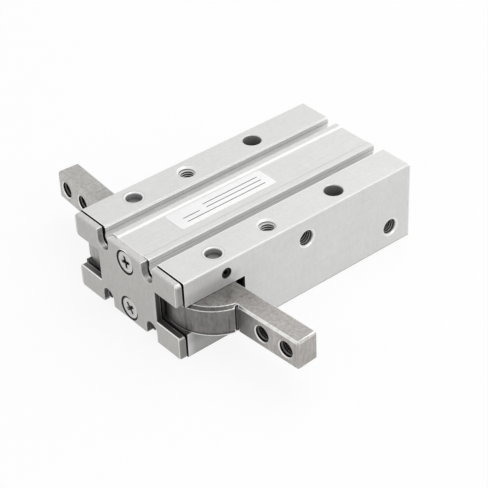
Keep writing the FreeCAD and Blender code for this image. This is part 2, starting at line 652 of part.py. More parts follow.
def make_end_plate():
    """Steel plate with side slots for the fingers and notches in front of the sensor grooves."""
    body = doc.addObject("PartDesign::Body", "end_plate_body")
    blank = new_sketch(body, "plate_blank", "XZ_Plane", offset="sizes.plate_gap")
    half = PLATE_HALF
    add_rectangle(blank, f"-{half}", half, f"-{HALF_HEIGHT}", HALF_HEIGHT)
    add_pad(body, blank, "sizes.plate_thickness")
    pad = new_sketch(body, "plate_pad", "XZ_Plane")
    edge = "(sizes.groove_offset - sizes.notch_width / 2)"
    add_rectangle(pad, f"-{edge}", edge, f"-{RECESS_FLOOR}", RECESS_FLOOR)
    add_pad(body, pad, "sizes.plate_gap")

    reach = f"sizes.plate_thickness + sizes.plate_gap + {PAST}"
    sides = new_sketch(body, "plate_slots", "XZ_Plane", offset=reach)
    land = new_sketch(body, "plate_land", "XZ_Plane", offset=reach)
    notches = new_sketch(body, "notch_sides", "XZ_Plane", offset=reach)
    bottoms = new_sketch(body, "notch_bottoms", "XZ_Plane", offset=reach)
    centre = f"({HALF_HEIGHT} - sizes.notch_depth + sizes.notch_width / 2)"
    for sign in ("", "-"):
        add_rectangle(sides, f"{sign}{PLATE_SLOT_X}", f"{sign}({half} + {PAST})",
                      f"-{PLATE_SLOT_HEIGHT} / 2", f"{PLATE_SLOT_HEIGHT} / 2")
        add_rectangle(land, f"-{edge}", edge, sign + RECESS_FLOOR,
                      f"{sign}({HALF_HEIGHT} + {PAST})")
        for across in ("", "-"):
            middle = f"{across}sizes.groove_offset"
            add_rectangle(notches, f"{middle} - sizes.notch_width / 2",
                          f"{middle} + sizes.notch_width / 2", sign + centre,
                          f"{sign}({HALF_HEIGHT} + {PAST})")
            add_circle(bottoms, middle, sign + centre, "sizes.notch_width / 2")
    for sketch in (sides, land, notches, bottoms):
        shaped = add_pocket(body, sketch, f"{reach} + {PAST}")

    half_width = number(half)
    corners = edges_where(shaped, lambda p: near(abs(p.x), half_width))
    corners = [name for name in corners if is_along_y(shaped, name)]
    rounded = round_edges(body, shaped, corners, "sizes.plate_corner")
    front = -number("sizes.plate_thickness + sizes.plate_gap")
    rim = edges_where(rounded, lambda p: near(p.y, front))
    finished = round_edges(body, rounded, rim, "sizes.plate_round")
    body.Tip = finished

    holes = new_sketch(body, "plate_screw_seats", "XZ_Plane",
                       offset="sizes.plate_thickness + sizes.plate_gap")
    for sign in ("", "-"):
        add_circle(holes, "0", f"{sign}{SCREW_Z}", "sizes.screw_diameter / 2")
    add_hole(body, holes, "sizes.screw_diameter + 2 * sizes.screw_play",
             f"sizes.plate_thickness + sizes.plate_gap + {PAST}",
             mouth="sizes.screw_head + 2 * sizes.head_play")
    place(body)
    return keep(body, "end_plate")


def make_plate_screw(name, sign):
    """Countersunk screw with a cross recess, its head just below the plate's face."""
    front = "(sizes.head_sink - sizes.plate_thickness - sizes.plate_gap)"
    head = "sizes.screw_head / 2"
    shank = "sizes.screw_diameter / 2"
    height = f"{sign}{SCREW_Z}"
    flank = f"({head} - {shank})"
    top = cone(name + "_head", head, shank, flank, y=front, z=height, turn=ALONG_Y)
    rod = cylinder(name + "_shank", shank, f"sizes.screw_length - {flank}",
                   y=f"{front} + {flank}", z=height, turn=ALONG_Y)
    solid = fuse(name + "_blank", [top, rod])
    wings = []
    for index, (wide, high) in enumerate((("cross_width", "cross_wing"),
                                          ("cross_wing", "cross_width"))):
        wing = box(f"{name}_wing_{index}", f"-sizes.{wide} / 2", f"{front} - {PAST}",
                   f"{height} - sizes.{high} / 2", f"sizes.{wide}",
                   f"sizes.cross_depth + {PAST}",
                   f"sizes.{high}")
        wings.append(wing)
    screw = cut(name + "_cut", solid, wings)
    place(screw)
    return keep(screw, name)


def roller_path(steps=12):
    """Roller centre in the frame of the right finger, arm along +X, from open to closed."""
    inset = number("sizes.roller_inset")
    lead = number("sizes.roller_lead")
    travel = number("sizes.stroke")
    swing = math.radians(number(CLOSING_ANGLE))
    sweep = math.radians(number("sizes.sweep_back"))
    path = []
    for step in range(steps + 1):
        share = step / steps
        turn = Rotation(Vector(0, 0, 1), math.degrees(swing * share - sweep))
        path.append(turn.multVec(Vector(-inset, lead + travel * share, 0)))
    return path


def track_solid(half_width, height):
    """Solid swept by a circle of the given radius along the roller's path."""
    path = roller_path()
    centre_line = Part.BSplineCurve()
    centre_line.interpolate(path)
    sides = ([], [])
    count = len(path)
    for index in range(count):
        parameter = centre_line.parameter(path[index])
        along = centre_line.tangent(parameter)[0]
        across = Vector(-along.y, along.x, 0)
        sides[0].append(path[index] + across * half_width)
        sides[1].append(path[index] - across * half_width)
    start_along = centre_line.tangent(centre_line.FirstParameter)[0]
    end_along = centre_line.tangent(centre_line.LastParameter)[0]
    left = Part.BSplineCurve()
    left.interpolate(sides[0])
    right = Part.BSplineCurve()
    right.interpolate(list(reversed(sides[1])))
    end_cap = Part.Arc(sides[0][-1], path[-1] + end_along * half_width, sides[1][-1])
    start_cap = Part.Arc(sides[1][0], path[0] - start_along * half_width, sides[0][0])
    edges = [left.toShape(), end_cap.toShape(), right.toShape(), start_cap.toShape()]
    face = Part.Face(Part.Wire(edges))
    face.translate(Vector(0, 0, -height / 2))
    return face.extrude(Vector(0, 0, height))


def add_track(name, half_width, height):
    feature = doc.addObject("Part::Feature", name)
    feature.Shape = track_solid(half_width, height)
    return feature


def make_finger():
    """Right finger: slim arm, bevelled cam disc, cam track, pivot bore and two jaw threads."""
    thick = "sizes.finger_thickness"
    low = f"-{thick} / 2"
    arm = box("finger_arm", "0", "-sizes.jaw_offset", low, FINGER_REACH,
              "sizes.finger_width", thick)
    arm_bevel = doc.addObject("Part::Chamfer", "finger_arm_bevel")
    arm_bevel.Base = arm
    reach = number(FINGER_REACH)
    bevel = number("sizes.finger_bevel")
    doc.recompute()
    edges = []
    for index, edge in enumerate(arm.Shape.Edges, start=1):
        middle = edge.BoundBox.Center
        if middle.x > 0.1 * reach:
            edges.append((index, bevel, bevel))
    arm_bevel.Edges = edges

    start_angle = 180 - number("sizes.sweep_back")
    disc_low = cylinder("finger_disc_low", DISC_RADIUS, f"{thick} - sizes.disc_bevel",
                        z=low, turn=Rotation(Vector(0, 0, 1), start_angle))
    disc_top = cone("finger_disc_top", DISC_RADIUS,
                    f"{DISC_RADIUS} - sizes.disc_bevel", "sizes.disc_bevel",
                    z=f"{thick} / 2 - sizes.disc_bevel",
                    turn=Rotation(Vector(0, 0, 1), start_angle))
    for piece in (disc_low, disc_top):
        piece.setExpression("Angle", "sizes.disc_sector + sizes.sweep_back")
    boss = cylinder("finger_boss", "sizes.boss_radius", thick, z=low)
    track_radius = number(TRACK_RADIUS)
    height = number(thick)
    rim = add_track("finger_track_rim", track_radius + number("sizes.track_wall"), height)
    blank = fuse("finger_blank", [arm_bevel, disc_low, disc_top, boss, rim])

    through = f"{thick} + 2 * {PAST}"
    below = f"{low} - {PAST}"
    tools = [add_track("finger_track", track_radius, number(through))]
    tools.append(cylinder("finger_pivot_bore",
                          "sizes.pivot_diameter / 2 + sizes.pivot_clearance",
                          through, z=below))
    corner = f"sqrt({DISC_RADIUS} ^ 2 - sizes.jaw_offset ^ 2)"
    tools.append(cylinder("finger_relief", "sizes.relief_radius", through,
                          x=corner, y="-sizes.jaw_offset", z=below))
    thread = "sizes.thread_diameter / 2"
    mouth = "(sizes.thread_diameter + sizes.jaw_hole_bevel) / 2"
    for index, x in enumerate(("sizes.jaw_hole_offset",
                               "(sizes.jaw_hole_offset + sizes.jaw_hole_pitch)")):
        tools.append(cylinder(f"jaw_hole_{index}", thread, f"sizes.finger_width + 2 * {PAST}",
                              x=x, y=f"-sizes.jaw_offset - {PAST}", turn=ALONG_Y))
        tools.append(cone(f"jaw_mouth_{index}", mouth, thread, "sizes.jaw_hole_bevel / 2",
                          x=x, y="-sizes.jaw_offset", turn=ALONG_Y))
        tools.append(cone(f"jaw_back_{index}", thread, mouth, "sizes.jaw_hole_bevel / 2", x=x,
                          y="sizes.finger_width - sizes.jaw_offset - sizes.jaw_hole_bevel / 2",
                          turn=ALONG_Y))
    finger = cut("finger_right_cut", blank, tools)
    finger.Placement = Placement(Vector(), Rotation(Vector(0, 0, 1), 1))
    finger.setExpression("Placement.Rotation.Angle", "sizes.sweep_back")
    place(finger, x=PIVOT_X, y=PIVOT_Y)
    keep(finger, "finger_right")
    return mirror_piece(finger, "finger_left")


def make_upright_pin(name, radius, length, x, y):
    """Plain pin along the finger axes with bevelled ends, and its twin."""
    shaft = cylinder(f"{name}_shaft", radius, length, z=f"-({length}) / 2")
    pin = doc.addObject("Part::Chamfer", f"{name}_bevelled")
    pin.Base = shaft
    doc.recompute()
    bevel = number("sizes.pin_bevel")
    rims = [(index, bevel, bevel) for index, edge in enumerate(shaft.Shape.Edges, start=1)
            if len(edge.Vertexes) == 1]
    pin.Edges = rims
    place(pin, x=x, y=y)
    keep(pin, f"{name}_right")
    return mirror_piece(pin, f"{name}_left")


def make_lock_screws():
    """Set screws with a hexagon socket that hold the pivot pins from the sides."""
    shaft = cylinder("lock_shaft", "sizes.lock_diameter / 2", LOCK_LENGTH,
                     x=LOCK_TIP, y=PIVOT_Y, z=LOCK_Z, turn=ALONG_X)
    socket = doc.addObject("Part::Prism", "lock_socket_tool")
    socket.Polygon = 6
    socket.Placement = Placement(Vector(), ALONG_X)
    socket.setExpression("Circumradius", "sizes.lock_socket / sqrt(3)")
    socket.setExpression("Height", f"{LOCK_LENGTH} / 2 + {PAST}")
    socket.setExpression("Placement.Base.x", f"{LOCK_TIP} + {LOCK_LENGTH} / 2")
    socket.setExpression("Placement.Base.y", PIVOT_Y)
    socket.setExpression("Placement.Base.z", LOCK_Z)
    screw = cut("lock_screw_cut", shaft, [socket])
    place(screw)
    keep(screw, "pin_lock_screw_right")
    return mirror_piece(screw, "pin_lock_screw_left")


def make_fork():
    """Cross fork: two cheeks above and below the fingers, joined by a web on the piston rod."""
    height = FORK_HEIGHT
    low = f"-{height} / 2"
    bar = box("fork_bar", f"-{ROLLER_X}", "-sizes.fork_depth / 2", low, f"2 * {ROLLER_X}",
              "sizes.fork_depth", height)
    ends = [cylinder(f"fork_end_{index}", "sizes.fork_depth / 2", height, x=x, z=low)
            for index, x in enumerate((ROLLER_X, f"-{ROLLER_X}"))]
    tail = box("fork_tail_web", "-sizes.fork_web / 2", "-sizes.fork_depth / 2", low,
               "sizes.fork_web", "sizes.fork_depth / 2 + sizes.fork_tail", height)
    blank = fuse("fork_blank", [bar, tail] + ends)
    tools = []
    gap_width = f"({FORK_HALF} - sizes.fork_web / 2 + {PAST})"
    for index, x in enumerate(("sizes.fork_web / 2", f"-sizes.fork_web / 2 - {gap_width}")):
        tools.append(box(f"fork_gap_{index}", x, "-sizes.fork_depth", f"-{FINGER_SLOT} / 2",
                         gap_width, "2 * sizes.fork_depth", FINGER_SLOT))
    for index, x in enumerate((ROLLER_X, f"-{ROLLER_X}")):
        tools.append(cylinder(f"fork_pin_hole_{index}", "sizes.roller_pin / 2 + sizes.stud_fit",
                              f"{height} + 2 * {PAST}", x=x, z=f"{low} - {PAST}"))
    tools.append(cylinder("fork_stud_hole", "sizes.fork_stud / 2 + sizes.stud_fit",
                          f"{STUD_LENGTH} + sizes.stud_space + {PAST}",
                          y=f"sizes.fork_tail - {STUD_LENGTH} - sizes.stud_space",
                          turn=ALONG_Y))
    fork = cut("drive_fork_cut", blank, tools)
    place(fork, y=ROLLER_Y)
    return keep(fork, "drive_fork")


def make_rollers():
    """Cam rollers on the fork's pins."""
    length = f"({FINGER_SLOT} - 2 * sizes.roller_play)"
    low = f"-{length} / 2"
    outside = cylinder("roller_outside", "sizes.roller_diameter / 2", length, z=low)
    inside = cylinder("roller_inside", "sizes.roller_pin / 2 + sizes.roller_bore_gap",
                      f"{length} + 2 * {PAST}",
                      z=f"{low} - {PAST}")
    roller = cut("roller_cut", outside, [inside])
    place(roller, x=ROLLER_X, y=ROLLER_Y)
    keep(roller, "cam_roller_right")
    return mirror_piece(roller, "cam_roller_left")


def make_piston_group():
    """Rod, piston with its rings and nut, and the fixed rod seal and damper."""
    rod = "sizes.rod_diameter / 2"
    stud = "sizes.fork_stud / 2"
    tail = "sizes.piston_tail / 2"
    turned_piece("piston_rod", [
        ("0", f"{FORK_REAR} - {STUD_LENGTH}"),
        (stud, f"{FORK_REAR} - {STUD_LENGTH}"),
        (stud, FORK_REAR),
        (rod, FORK_REAR),
        (rod, PISTON_FRONT),
        (tail, PISTON_FRONT),
        (tail, f"{NUT_SEAT} + sizes.nut_height + sizes.rod_overhang"),
        ("0", f"{NUT_SEAT} + sizes.nut_height + sizes.rod_overhang"),
    ])
    tail_hole = f"{tail} + sizes.stud_fit"
    profile = [(tail_hole, PISTON_FRONT), (PISTON_RADIUS, PISTON_FRONT)]
    rings = (("band", BAND_Y), ("magnet", MAGNET_Y), ("seal", SEAL_Y))
    for ring, start in rings:
        end = f"({start} + sizes.{ring}_width)"
        floor = f"({PISTON_RADIUS} - sizes.{ring}_depth)"
        profile += [(PISTON_RADIUS, start), (floor, start), (floor, end), (PISTON_RADIUS, end)]
    profile += [
        (PISTON_RADIUS, PISTON_REAR),
        (f"{NUT_CORNER} + sizes.nut_space", PISTON_REAR),
        (f"{NUT_CORNER} + sizes.nut_space", NUT_SEAT),
        (tail_hole, NUT_SEAT),
    ]
    turned_piece("piston", profile)
    names = ("piston_wear_ring", "piston_magnet", "piston_seal")
    for name, (ring, groove) in zip(names, rings):
        start = f"({groove} + sizes.ring_gap)"
        end = f"({start} + sizes.{ring}_width - 2 * sizes.ring_gap)"
        floor = f"({PISTON_RADIUS} - sizes.{ring}_depth + sizes.ring_gap)"
        outside = PISTON_RADIUS if ring == "magnet" else RING_RADIUS
        turned_piece(name, band(floor, outside, start, end))
    nut = doc.addObject("Part::Prism", "nut_prism")
    nut.Polygon = 6
    nut.Placement = Placement(Vector(), ALONG_Y)
    nut.setExpression("Circumradius", NUT_CORNER)
    nut.setExpression("Height", "sizes.nut_height")
    nut.setExpression("Placement.Base.y", NUT_SEAT)
    thread = cylinder("nut_bore", tail_hole, f"sizes.nut_height + 2 * {PAST}",
                      y=f"{NUT_SEAT} - {PAST}", turn=ALONG_Y)
    piston_nut = cut("piston_nut_cut", nut, [thread])
    place(piston_nut)
    keep(piston_nut, "piston_nut")
    seal_start = f"({ROD_SEAL_Y} + sizes.ring_gap)"
    turned_piece("rod_seal", band(f"{rod} + sizes.ring_contact",
                                  f"{ROD_SEAL_RADIUS} - sizes.ring_contact",
                                  seal_start,
                                  f"{seal_start} + sizes.rod_seal_width - 2 * sizes.ring_gap"))
    turned_piece("rod_damper", band(f"{rod} + sizes.damper_play", DAMPER_RADIUS,
                                    BORE_FRONT,
                                    f"{BORE_FRONT} + sizes.damper_thickness"))


def make_rear_closure():
    """Rear cap with its gasket, held by an internal snap ring."""
    nose = "sizes.cap_nose / 2"
    groove_floor = f"({CAP_RADIUS} - sizes.gasket_section)"
    groove_start = f"({FLANGE_FRONT} + sizes.gasket_inset)"
    groove_end = f"({groove_start} + sizes.gasket_section + 2 * sizes.ring_gap)"
    dish = "(sizes.cap_nose / 2 - sizes.cap_rim)"
    turned_piece("rear_cap", [
        ("0", f"{FLANGE_FRONT} + sizes.cap_hollow"),
        (dish, f"{FLANGE_FRONT} + sizes.cap_hollow"),
        (dish, NOSE_FRONT),
        (nose, NOSE_FRONT),
        (nose, FLANGE_FRONT),
        (CAP_RADIUS, FLANGE_FRONT),
        (CAP_RADIUS, groove_start),
        (groove_floor, groove_start),
        (groove_floor, groove_end),
        (CAP_RADIUS, groove_end),
        (CAP_RADIUS, CLIP_FRONT),
        (dish, CLIP_FRONT),
        (dish, f"{CLIP_FRONT} - sizes.cap_dish"),
        ("0", f"{CLIP_FRONT} - sizes.cap_dish"),
    ])
    turned_piece("rear_cap_gasket", band(f"{groove_floor} + sizes.ring_gap", RING_RADIUS,
                                         f"{groove_start} + sizes.ring_gap",
                                         f"{groove_end} - sizes.ring_gap"))

    outer = f"({BORE_RADIUS} + sizes.clip_bite - sizes.ring_gap)"
    inner = f"({outer} - sizes.clip_band)"
    thick = "(sizes.clip_thickness - 2 * sizes.ring_gap)"
    start = f"({CLIP_FRONT} + sizes.ring_gap)"
    outside = cylinder("clip_outside", outer, thick, y=start, turn=ALONG_Y)
    through = f"{thick} + 2 * {PAST}"
    before = f"{start} - {PAST}"
    eyes = []
    holes = []
    eye_radius = "(sizes.clip_eye / 2)"
    eye_x = f"(sizes.clip_opening / 2 + {eye_radius})"
    eye_ring = f"({inner} - sizes.clip_lug)"
    eye_low = f"sqrt({eye_ring} ^ 2 - {eye_x} ^ 2)"
    for index, sign in enumerate(("", "-")):
        eyes.append(cylinder(f"clip_eye_{index}", eye_radius, thick, x=sign + eye_x, y=start,
                             z=f"-{eye_low}", turn=ALONG_Y))
        holes.append(cylinder(f"clip_eye_hole_{index}", "sizes.clip_hole / 2", through,
                              x=sign + eye_x, y=before, z=f"-{eye_low}", turn=ALONG_Y))
    middle = cylinder("clip_inside", inner, through, y=before, turn=ALONG_Y)
    opening = box("clip_gap", "-sizes.clip_opening / 2", before, f"-{outer} - {PAST}",
                  "sizes.clip_opening", through, outer)
    ring = cut("clip_ring", outside, [middle])
    lugged = fuse("clip_lugged", [ring] + eyes)
    clip = cut("snap_ring_cut", lugged, [opening] + holes)
    place(clip)
    return keep(clip, "rear_snap_ring")


def make_label():
    """Bare name label stuck in the recess on the top."""
    sheet_box = box("label_sheet", f"sizes.label_left - {RECESS_HALF}",
                    "sizes.label_setback", RECESS_FLOOR,
                    f"2 * {RECESS_HALF} - sizes.label_left - sizes.label_right",
                    "sizes.label_length", "sizes.label_thickness")
    label = doc.addObject("Part::Fillet", "label_rounded")
    label.Base = sheet_box
    doc.recompute()
    radius = number("sizes.label_corner")
    label.Edges = [(index, radius, radius)
                   for index, edge in enumerate(sheet_box.Shape.Edges, start=1)
                   if edge.BoundBox.ZLength > edge.BoundBox.XLength + edge.BoundBox.YLength]
    place(label)
    return keep(label, "name_label")


def check_model():
    """Stop if any object failed or any piece isn't one sound solid."""
    for item in doc.Objects:
        bad = [state for state in item.State if state in ("Invalid", "Error")]
        if bad:
            raise RuntimeError(f"{item.Label} is {bad}")
    for piece in nodes:
        shape = piece.Shape
        if shape.isNull() or not shape.isValid() or shape.Volume <= 0:
            raise RuntimeError(f"{piece.Label} has no sound shape")


def write_parts():
    os.makedirs("parts", exist_ok=True)
    for piece in nodes:
        piece.Shape.exportStep(f"parts/{piece.Label}.step")
        print(f"{piece.Label}: {piece.Shape.Volume:.1f} mm3, {len(piece.Shape.Solids)} solid")


make_housing()
make_end_plate()
make_plate_screw("end_plate_screw_upper", "")
make_plate_screw("end_plate_screw_lower", "-")
make_finger()
make_upright_pin("pivot_pin", "sizes.pivot_diameter / 2",
                 f"{BODY_HEIGHT} - 2 * sizes.pivot_recess", PIVOT_X,
                 PIVOT_Y)
make_lock_screws()
make_fork()
make_upright_pin("roller_pin", "sizes.roller_pin / 2", f"{FORK_HEIGHT} - 0.1", ROLLER_X, ROLLER_Y)
make_rollers()
make_piston_group()
make_rear_closure()
make_label()
doc.recompute()
check_model()
write_parts()
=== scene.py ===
"""Looks of a pneumatic angular gripper: its finishes, its screw threads, its name plate and the studio."""

import json
import math

import bmesh
import bpy
from mathutils import Matrix, Vector


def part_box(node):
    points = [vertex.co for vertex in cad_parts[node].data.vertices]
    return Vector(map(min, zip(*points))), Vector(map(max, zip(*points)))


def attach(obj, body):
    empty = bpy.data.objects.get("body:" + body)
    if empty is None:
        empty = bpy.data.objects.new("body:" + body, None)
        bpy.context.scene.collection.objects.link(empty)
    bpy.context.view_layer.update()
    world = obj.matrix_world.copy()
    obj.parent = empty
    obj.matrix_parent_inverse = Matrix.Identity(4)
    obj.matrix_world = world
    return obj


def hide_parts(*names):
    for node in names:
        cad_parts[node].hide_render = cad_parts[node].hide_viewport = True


bl_info = {
    "name": "Pneumatic angular gripper",
    "version": (1, 0, 0),
    "blender": (4, 5, 0),
    "location": "View3D > Sidebar > Gripper",
    "description": "Finishes, threads and studio of an angular gripper",
    "category": "Object",
}

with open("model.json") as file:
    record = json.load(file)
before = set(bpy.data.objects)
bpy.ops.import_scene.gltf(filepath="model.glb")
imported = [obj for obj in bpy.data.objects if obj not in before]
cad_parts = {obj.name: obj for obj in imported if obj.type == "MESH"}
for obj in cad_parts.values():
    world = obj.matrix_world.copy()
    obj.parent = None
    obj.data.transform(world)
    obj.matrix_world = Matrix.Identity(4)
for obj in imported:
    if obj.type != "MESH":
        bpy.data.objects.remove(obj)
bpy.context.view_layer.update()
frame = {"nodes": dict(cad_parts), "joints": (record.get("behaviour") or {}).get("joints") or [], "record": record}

MM = 0.001


# Places, read from the frame

mounts = {mount["name"]: mount for mount in frame["record"]["mounts"]}
joints = {joint["name"]: joint for joint in frame["joints"]}

ACROSS, ALONG, UPRIGHT = (1.0, 0.0, 0.0), (0.0, 1.0, 0.0), (0.0, 0.0, 1.0)
PIVOT = tuple(joints["finger_right_swing"]["pos_m"])
MIDDLE_HEIGHT = PIVOT[2]


def holes_of(name):
    """Centre and outward direction of each hole of a mount, the right one first."""
    mount = mounts[name]
    half_spacing = mount["dims"].get("spacing_x_mm", 0.0) / 2 * MM
    sides = (1, -1) if half_spacing else (0,)
    return [(Vector(mount["pos_m"]) + Vector((side * half_spacing, 0.0, 0.0)),
             Vector(mount["axis"])) for side in sides]


def middle_of(node):
    """The middle of a node's box."""
    low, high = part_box(node)
    return (low + high) / 2


PLATE_SCREWS = ("end_plate_screw_upper", "end_plate_screw_lower")
TOP_THREAD = holes_of("top_threads")[0][0]
REAR_THREAD = holes_of("rear_threads")[0][0]
PORTS = [holes_of(name)[0][0] for name in ("front_air_port", "rear_air_port")]
RIGHT_JAW_HOLES = [holes_of(f"{place}_jaw_thread_right")[0] for place in ("inner", "outer")]


# Sizes and colours

class GripperSizes(bpy.types.PropertyGroup):
    """Sizes of the details that are modelled on the frame"""

    thread_pitch: bpy.props.FloatProperty(
        name="Thread pitch", description="Rise of one turn in the tapped holes",
        default=0.8 * MM, unit="LENGTH")
    thread_height: bpy.props.FloatProperty(
        name="Thread height", description="How far a thread stands in from the hole's wall",
        default=0.42 * MM, unit="LENGTH")
    hole_radius: bpy.props.FloatProperty(
        name="Tapped hole radius", description="Radius of the tapped holes' walls",
        default=2.5 * MM, unit="LENGTH")
    label_corner: bpy.props.FloatProperty(
        name="Label corner", description="Corner radius of the name plate",
        default=0.8 * MM, unit="LENGTH")


class GripperColours(bpy.types.PropertyGroup):
    """Colours of the finishes"""

    alloy: bpy.props.FloatVectorProperty(
        name="Anodised alloy", description="Clear anodised body",
        default=(0.69, 0.69, 0.68), subtype="COLOR", size=3, min=0.0, max=1.0)
    plate: bpy.props.FloatVectorProperty(
        name="Plate steel", description="Satin end plate",
        default=(0.47, 0.465, 0.45), subtype="COLOR", size=3, min=0.0, max=1.0)
    screw: bpy.props.FloatVectorProperty(
        name="Screw steel", description="Bright heads of the plate screws",
        default=(0.56, 0.555, 0.54), subtype="COLOR", size=3, min=0.0, max=1.0)
    finger: bpy.props.FloatVectorProperty(
        name="Finger steel", description="Ground tool steel of the fingers",
        default=(0.43, 0.412, 0.398), subtype="COLOR", size=3, min=0.0, max=1.0)
    # The pin colour is darker than plain steel, as painted shade for the pin ends deep in their bores.
    pin: bpy.props.FloatVectorProperty(
        name="Pin steel", description="Dark hardened pins and rollers",
        default=(0.2, 0.2, 0.198), subtype="COLOR", size=3, min=0.0, max=1.0)
    film: bpy.props.FloatVectorProperty(
        name="Label film", description="White film of the name plate",
        default=(0.97, 0.97, 0.97), subtype="COLOR", size=3, min=0.0, max=1.0)
    rubber: bpy.props.FloatVectorProperty(
        name="Rubber", description="Black seals and damper",
        default=(0.018, 0.018, 0.019), subtype="COLOR", size=3, min=0.0, max=1.0)


# Wiring of materials

def add_node(tree, kind, inputs=(), **settings):
    """Adds a node, sets its properties, then fills or links its inputs."""
    node = tree.nodes.new(kind)
    for name, value in settings.items():
        setattr(node, name, value)
    for name, value in dict(inputs).items():
        if isinstance(value, bpy.types.NodeSocket):
            tree.links.new(value, node.inputs[name])
        else:
            node.inputs[name].default_value = value
    return node


def mix_colour(tree, factor, first, second, blend="MIX"):
    """Mixes two colours and returns the result's socket."""
    node = tree.nodes.new("ShaderNodeMix")
    node.data_type = "RGBA"
    node.blend_type = blend
    node.clamp_factor = True
    for socket, value in ((node.inputs[0], factor), (node.inputs[6], first), (node.inputs[7], second)):
        if isinstance(value, bpy.types.NodeSocket):
            tree.links.new(value, socket)
        elif isinstance(value, (int, float)):
            socket.default_value = value
        else:
            socket.default_value = (*value, 1.0)
    return node.outputs[2]


def remap(tree, value, low, high, new_low, new_high):
    """Spreads a value from one range to another and holds it there."""
    return add_node(tree, "ShaderNodeMapRange", {
        "Value": value, "From Min": low, "From Max": high, "To Min": new_low, "To Max": new_high,
    }).outputs["Result"]


def math_node(tree, operation, first, second=0.0):
    """One step of arithmetic on one or two values."""
    node = tree.nodes.new("ShaderNodeMath")
    node.operation = operation
    for socket, value in zip(node.inputs, (first, second)):
        if isinstance(value, bpy.types.NodeSocket):
            tree.links.new(value, socket)
        else:
            socket.default_value = value
    return node.outputs[0]


def new_finish(name):
    """A fresh material with its shader and the piece's own coordinates."""
    material = bpy.data.materials.new(name)
    material.use_nodes = True
    tree = material.node_tree
    shader = tree.nodes["Principled BSDF"]
    place = add_node(tree, "ShaderNodeTexCoord").outputs["Object"]
    return material, tree, shader, place


def grain(tree, place, stretch, scale, detail=3.0, roughness=0.55):
    """Noise drawn out along an axis: stretch is the squeeze of each axis."""
    mapping = add_node(tree, "ShaderNodeMapping", {"Vector": place, "Scale": stretch})
    return add_node(tree, "ShaderNodeTexNoise", {
        "Vector": mapping.outputs["Vector"], "Scale": scale, "Detail": detail, "Roughness": roughness,
    }).outputs["Fac"]


def edge_mask(tree, reach, start, full):
    """1 along an outer edge, where the metal behind the surface is thin, and 0 on a face."""
    behind = add_node(tree, "ShaderNodeAmbientOcclusion", {"Distance": reach},
                      samples=8, inside=True, only_local=True).outputs["AO"]
    return remap(tree, behind, start, full, 0.0, 1.0)


def soften(tree, radius):
    """The normal that small rounds on the sharp edges would give."""
    return add_node(tree, "ShaderNodeBevel", {"Radius": radius}, samples=4).outputs["Normal"]


def shade(tree, distance, only_local):
    """How open the surface is: 1 on a free face, near 0 deep in a hole."""
    return add_node(tree, "ShaderNodeAmbientOcclusion", {"Distance": distance},
                    samples=8, only_local=only_local).outputs["AO"]


# Zones: each gives the share of a place, from 0 to 1, that belongs to it

def from_axis(tree, place, centre, axis):
    """Distance from a line through the centre along an axis of unit length."""
    apart = add_node(tree, "ShaderNodeVectorMath", {0: place, 1: tuple(centre)}, operation="SUBTRACT")
    across = add_node(tree, "ShaderNodeVectorMath", {0: apart.outputs["Vector"], 1: tuple(axis)},
                      operation="CROSS_PRODUCT")
    return add_node(tree, "ShaderNodeVectorMath", {0: across.outputs["Vector"]},
                    operation="LENGTH").outputs["Value"]


def both_sides(tree, place):
    """The piece's coordinates with the left half folded onto the right."""
    parts = add_node(tree, "ShaderNodeSeparateXYZ", {"Vector": place})
    folded = math_node(tree, "ABSOLUTE", parts.outputs["X"])
    return add_node(tree, "ShaderNodeCombineXYZ", {
        "X": folded, "Y": parts.outputs["Y"], "Z": parts.outputs["Z"]}).outputs["Vector"]


def round_zone(centre, axis, inner, outer, least=1.0, most=1.0):
    """1 near an axis and 0 far from it, the same on the left and the right."""
    def share(tree, place, patch):
        distance = from_axis(tree, both_sides(tree, place), centre, axis)
        return math_node(tree, "MULTIPLY", remap(tree, distance, inner, outer, 1.0, 0.0),
                         remap(tree, patch, 0.3, 0.65, least, most))
    return share


def block_zone(low, high, fade):
    """1 in a block and 0 round it. Its corners give |x|, y and the height from the middle, in mm."""
    def share(tree, place, patch):
        parts = add_node(tree, "ShaderNodeSeparateXYZ", {"Vector": place})
        beside = math_node(tree, "ABSOLUTE", parts.outputs["X"])
        height = math_node(tree, "SUBTRACT", parts.outputs["Z"], MIDDLE_HEIGHT)
        above = math_node(tree, "ABSOLUTE", height)
        inside = 1.0
        for value, start, end in zip((beside, parts.outputs["Y"], above), low, high):
            if start is not None:
                entered = remap(tree, value, (start - fade) * MM, start * MM, 0.0, 1.0)
                inside = math_node(tree, "MULTIPLY", inside, entered)
            if end is not None:
                left = remap(tree, value, end * MM, (end + fade) * MM, 1.0, 0.0)
                inside = math_node(tree, "MULTIPLY", inside, left)
        return inside
    return share


def upper_half(tree, place, patch):
    """1 above the middle plane and 0 below it."""
    height = add_node(tree, "ShaderNodeSeparateXYZ", {"Vector": place}).outputs["Z"]
    return remap(tree, height, MIDDLE_HEIGHT - 1.0 * MM, MIDDLE_HEIGHT + 1.0 * MM, 0.0, 1.0)


def right_half(tree, place, patch):
    """1 to the right of the middle plane and 0 to the left of it."""
    across = add_node(tree, "ShaderNodeSeparateXYZ", {"Vector": place}).outputs["X"]
    return remap(tree, across, -1.0 * MM, 1.0 * MM, 0.0, 1.0)


def marks(tree, place, patch):
    """A few upright rubbing marks."""
    return remap(tree, grain(tree, place, (1.0, 1.0, 0.06), 900.0, 2.0), 0.56, 0.66, 0.0, 1.0)


def overlap(*zones):
    """The part that several zones have in common."""
    def share(tree, place, patch):
        common = 1.0
        for zone in zones:
            common = math_node(tree, "MULTIPLY", common, zone(tree, place, patch))
        return common
    return share


def either(*zones):
    """The parts of several zones taken together."""
    def share(tree, place, patch):
        joined = 0.0
        for zone in zones:
            joined = math_node(tree, "MAXIMUM", joined, zone(tree, place, patch))
        return joined
    return share


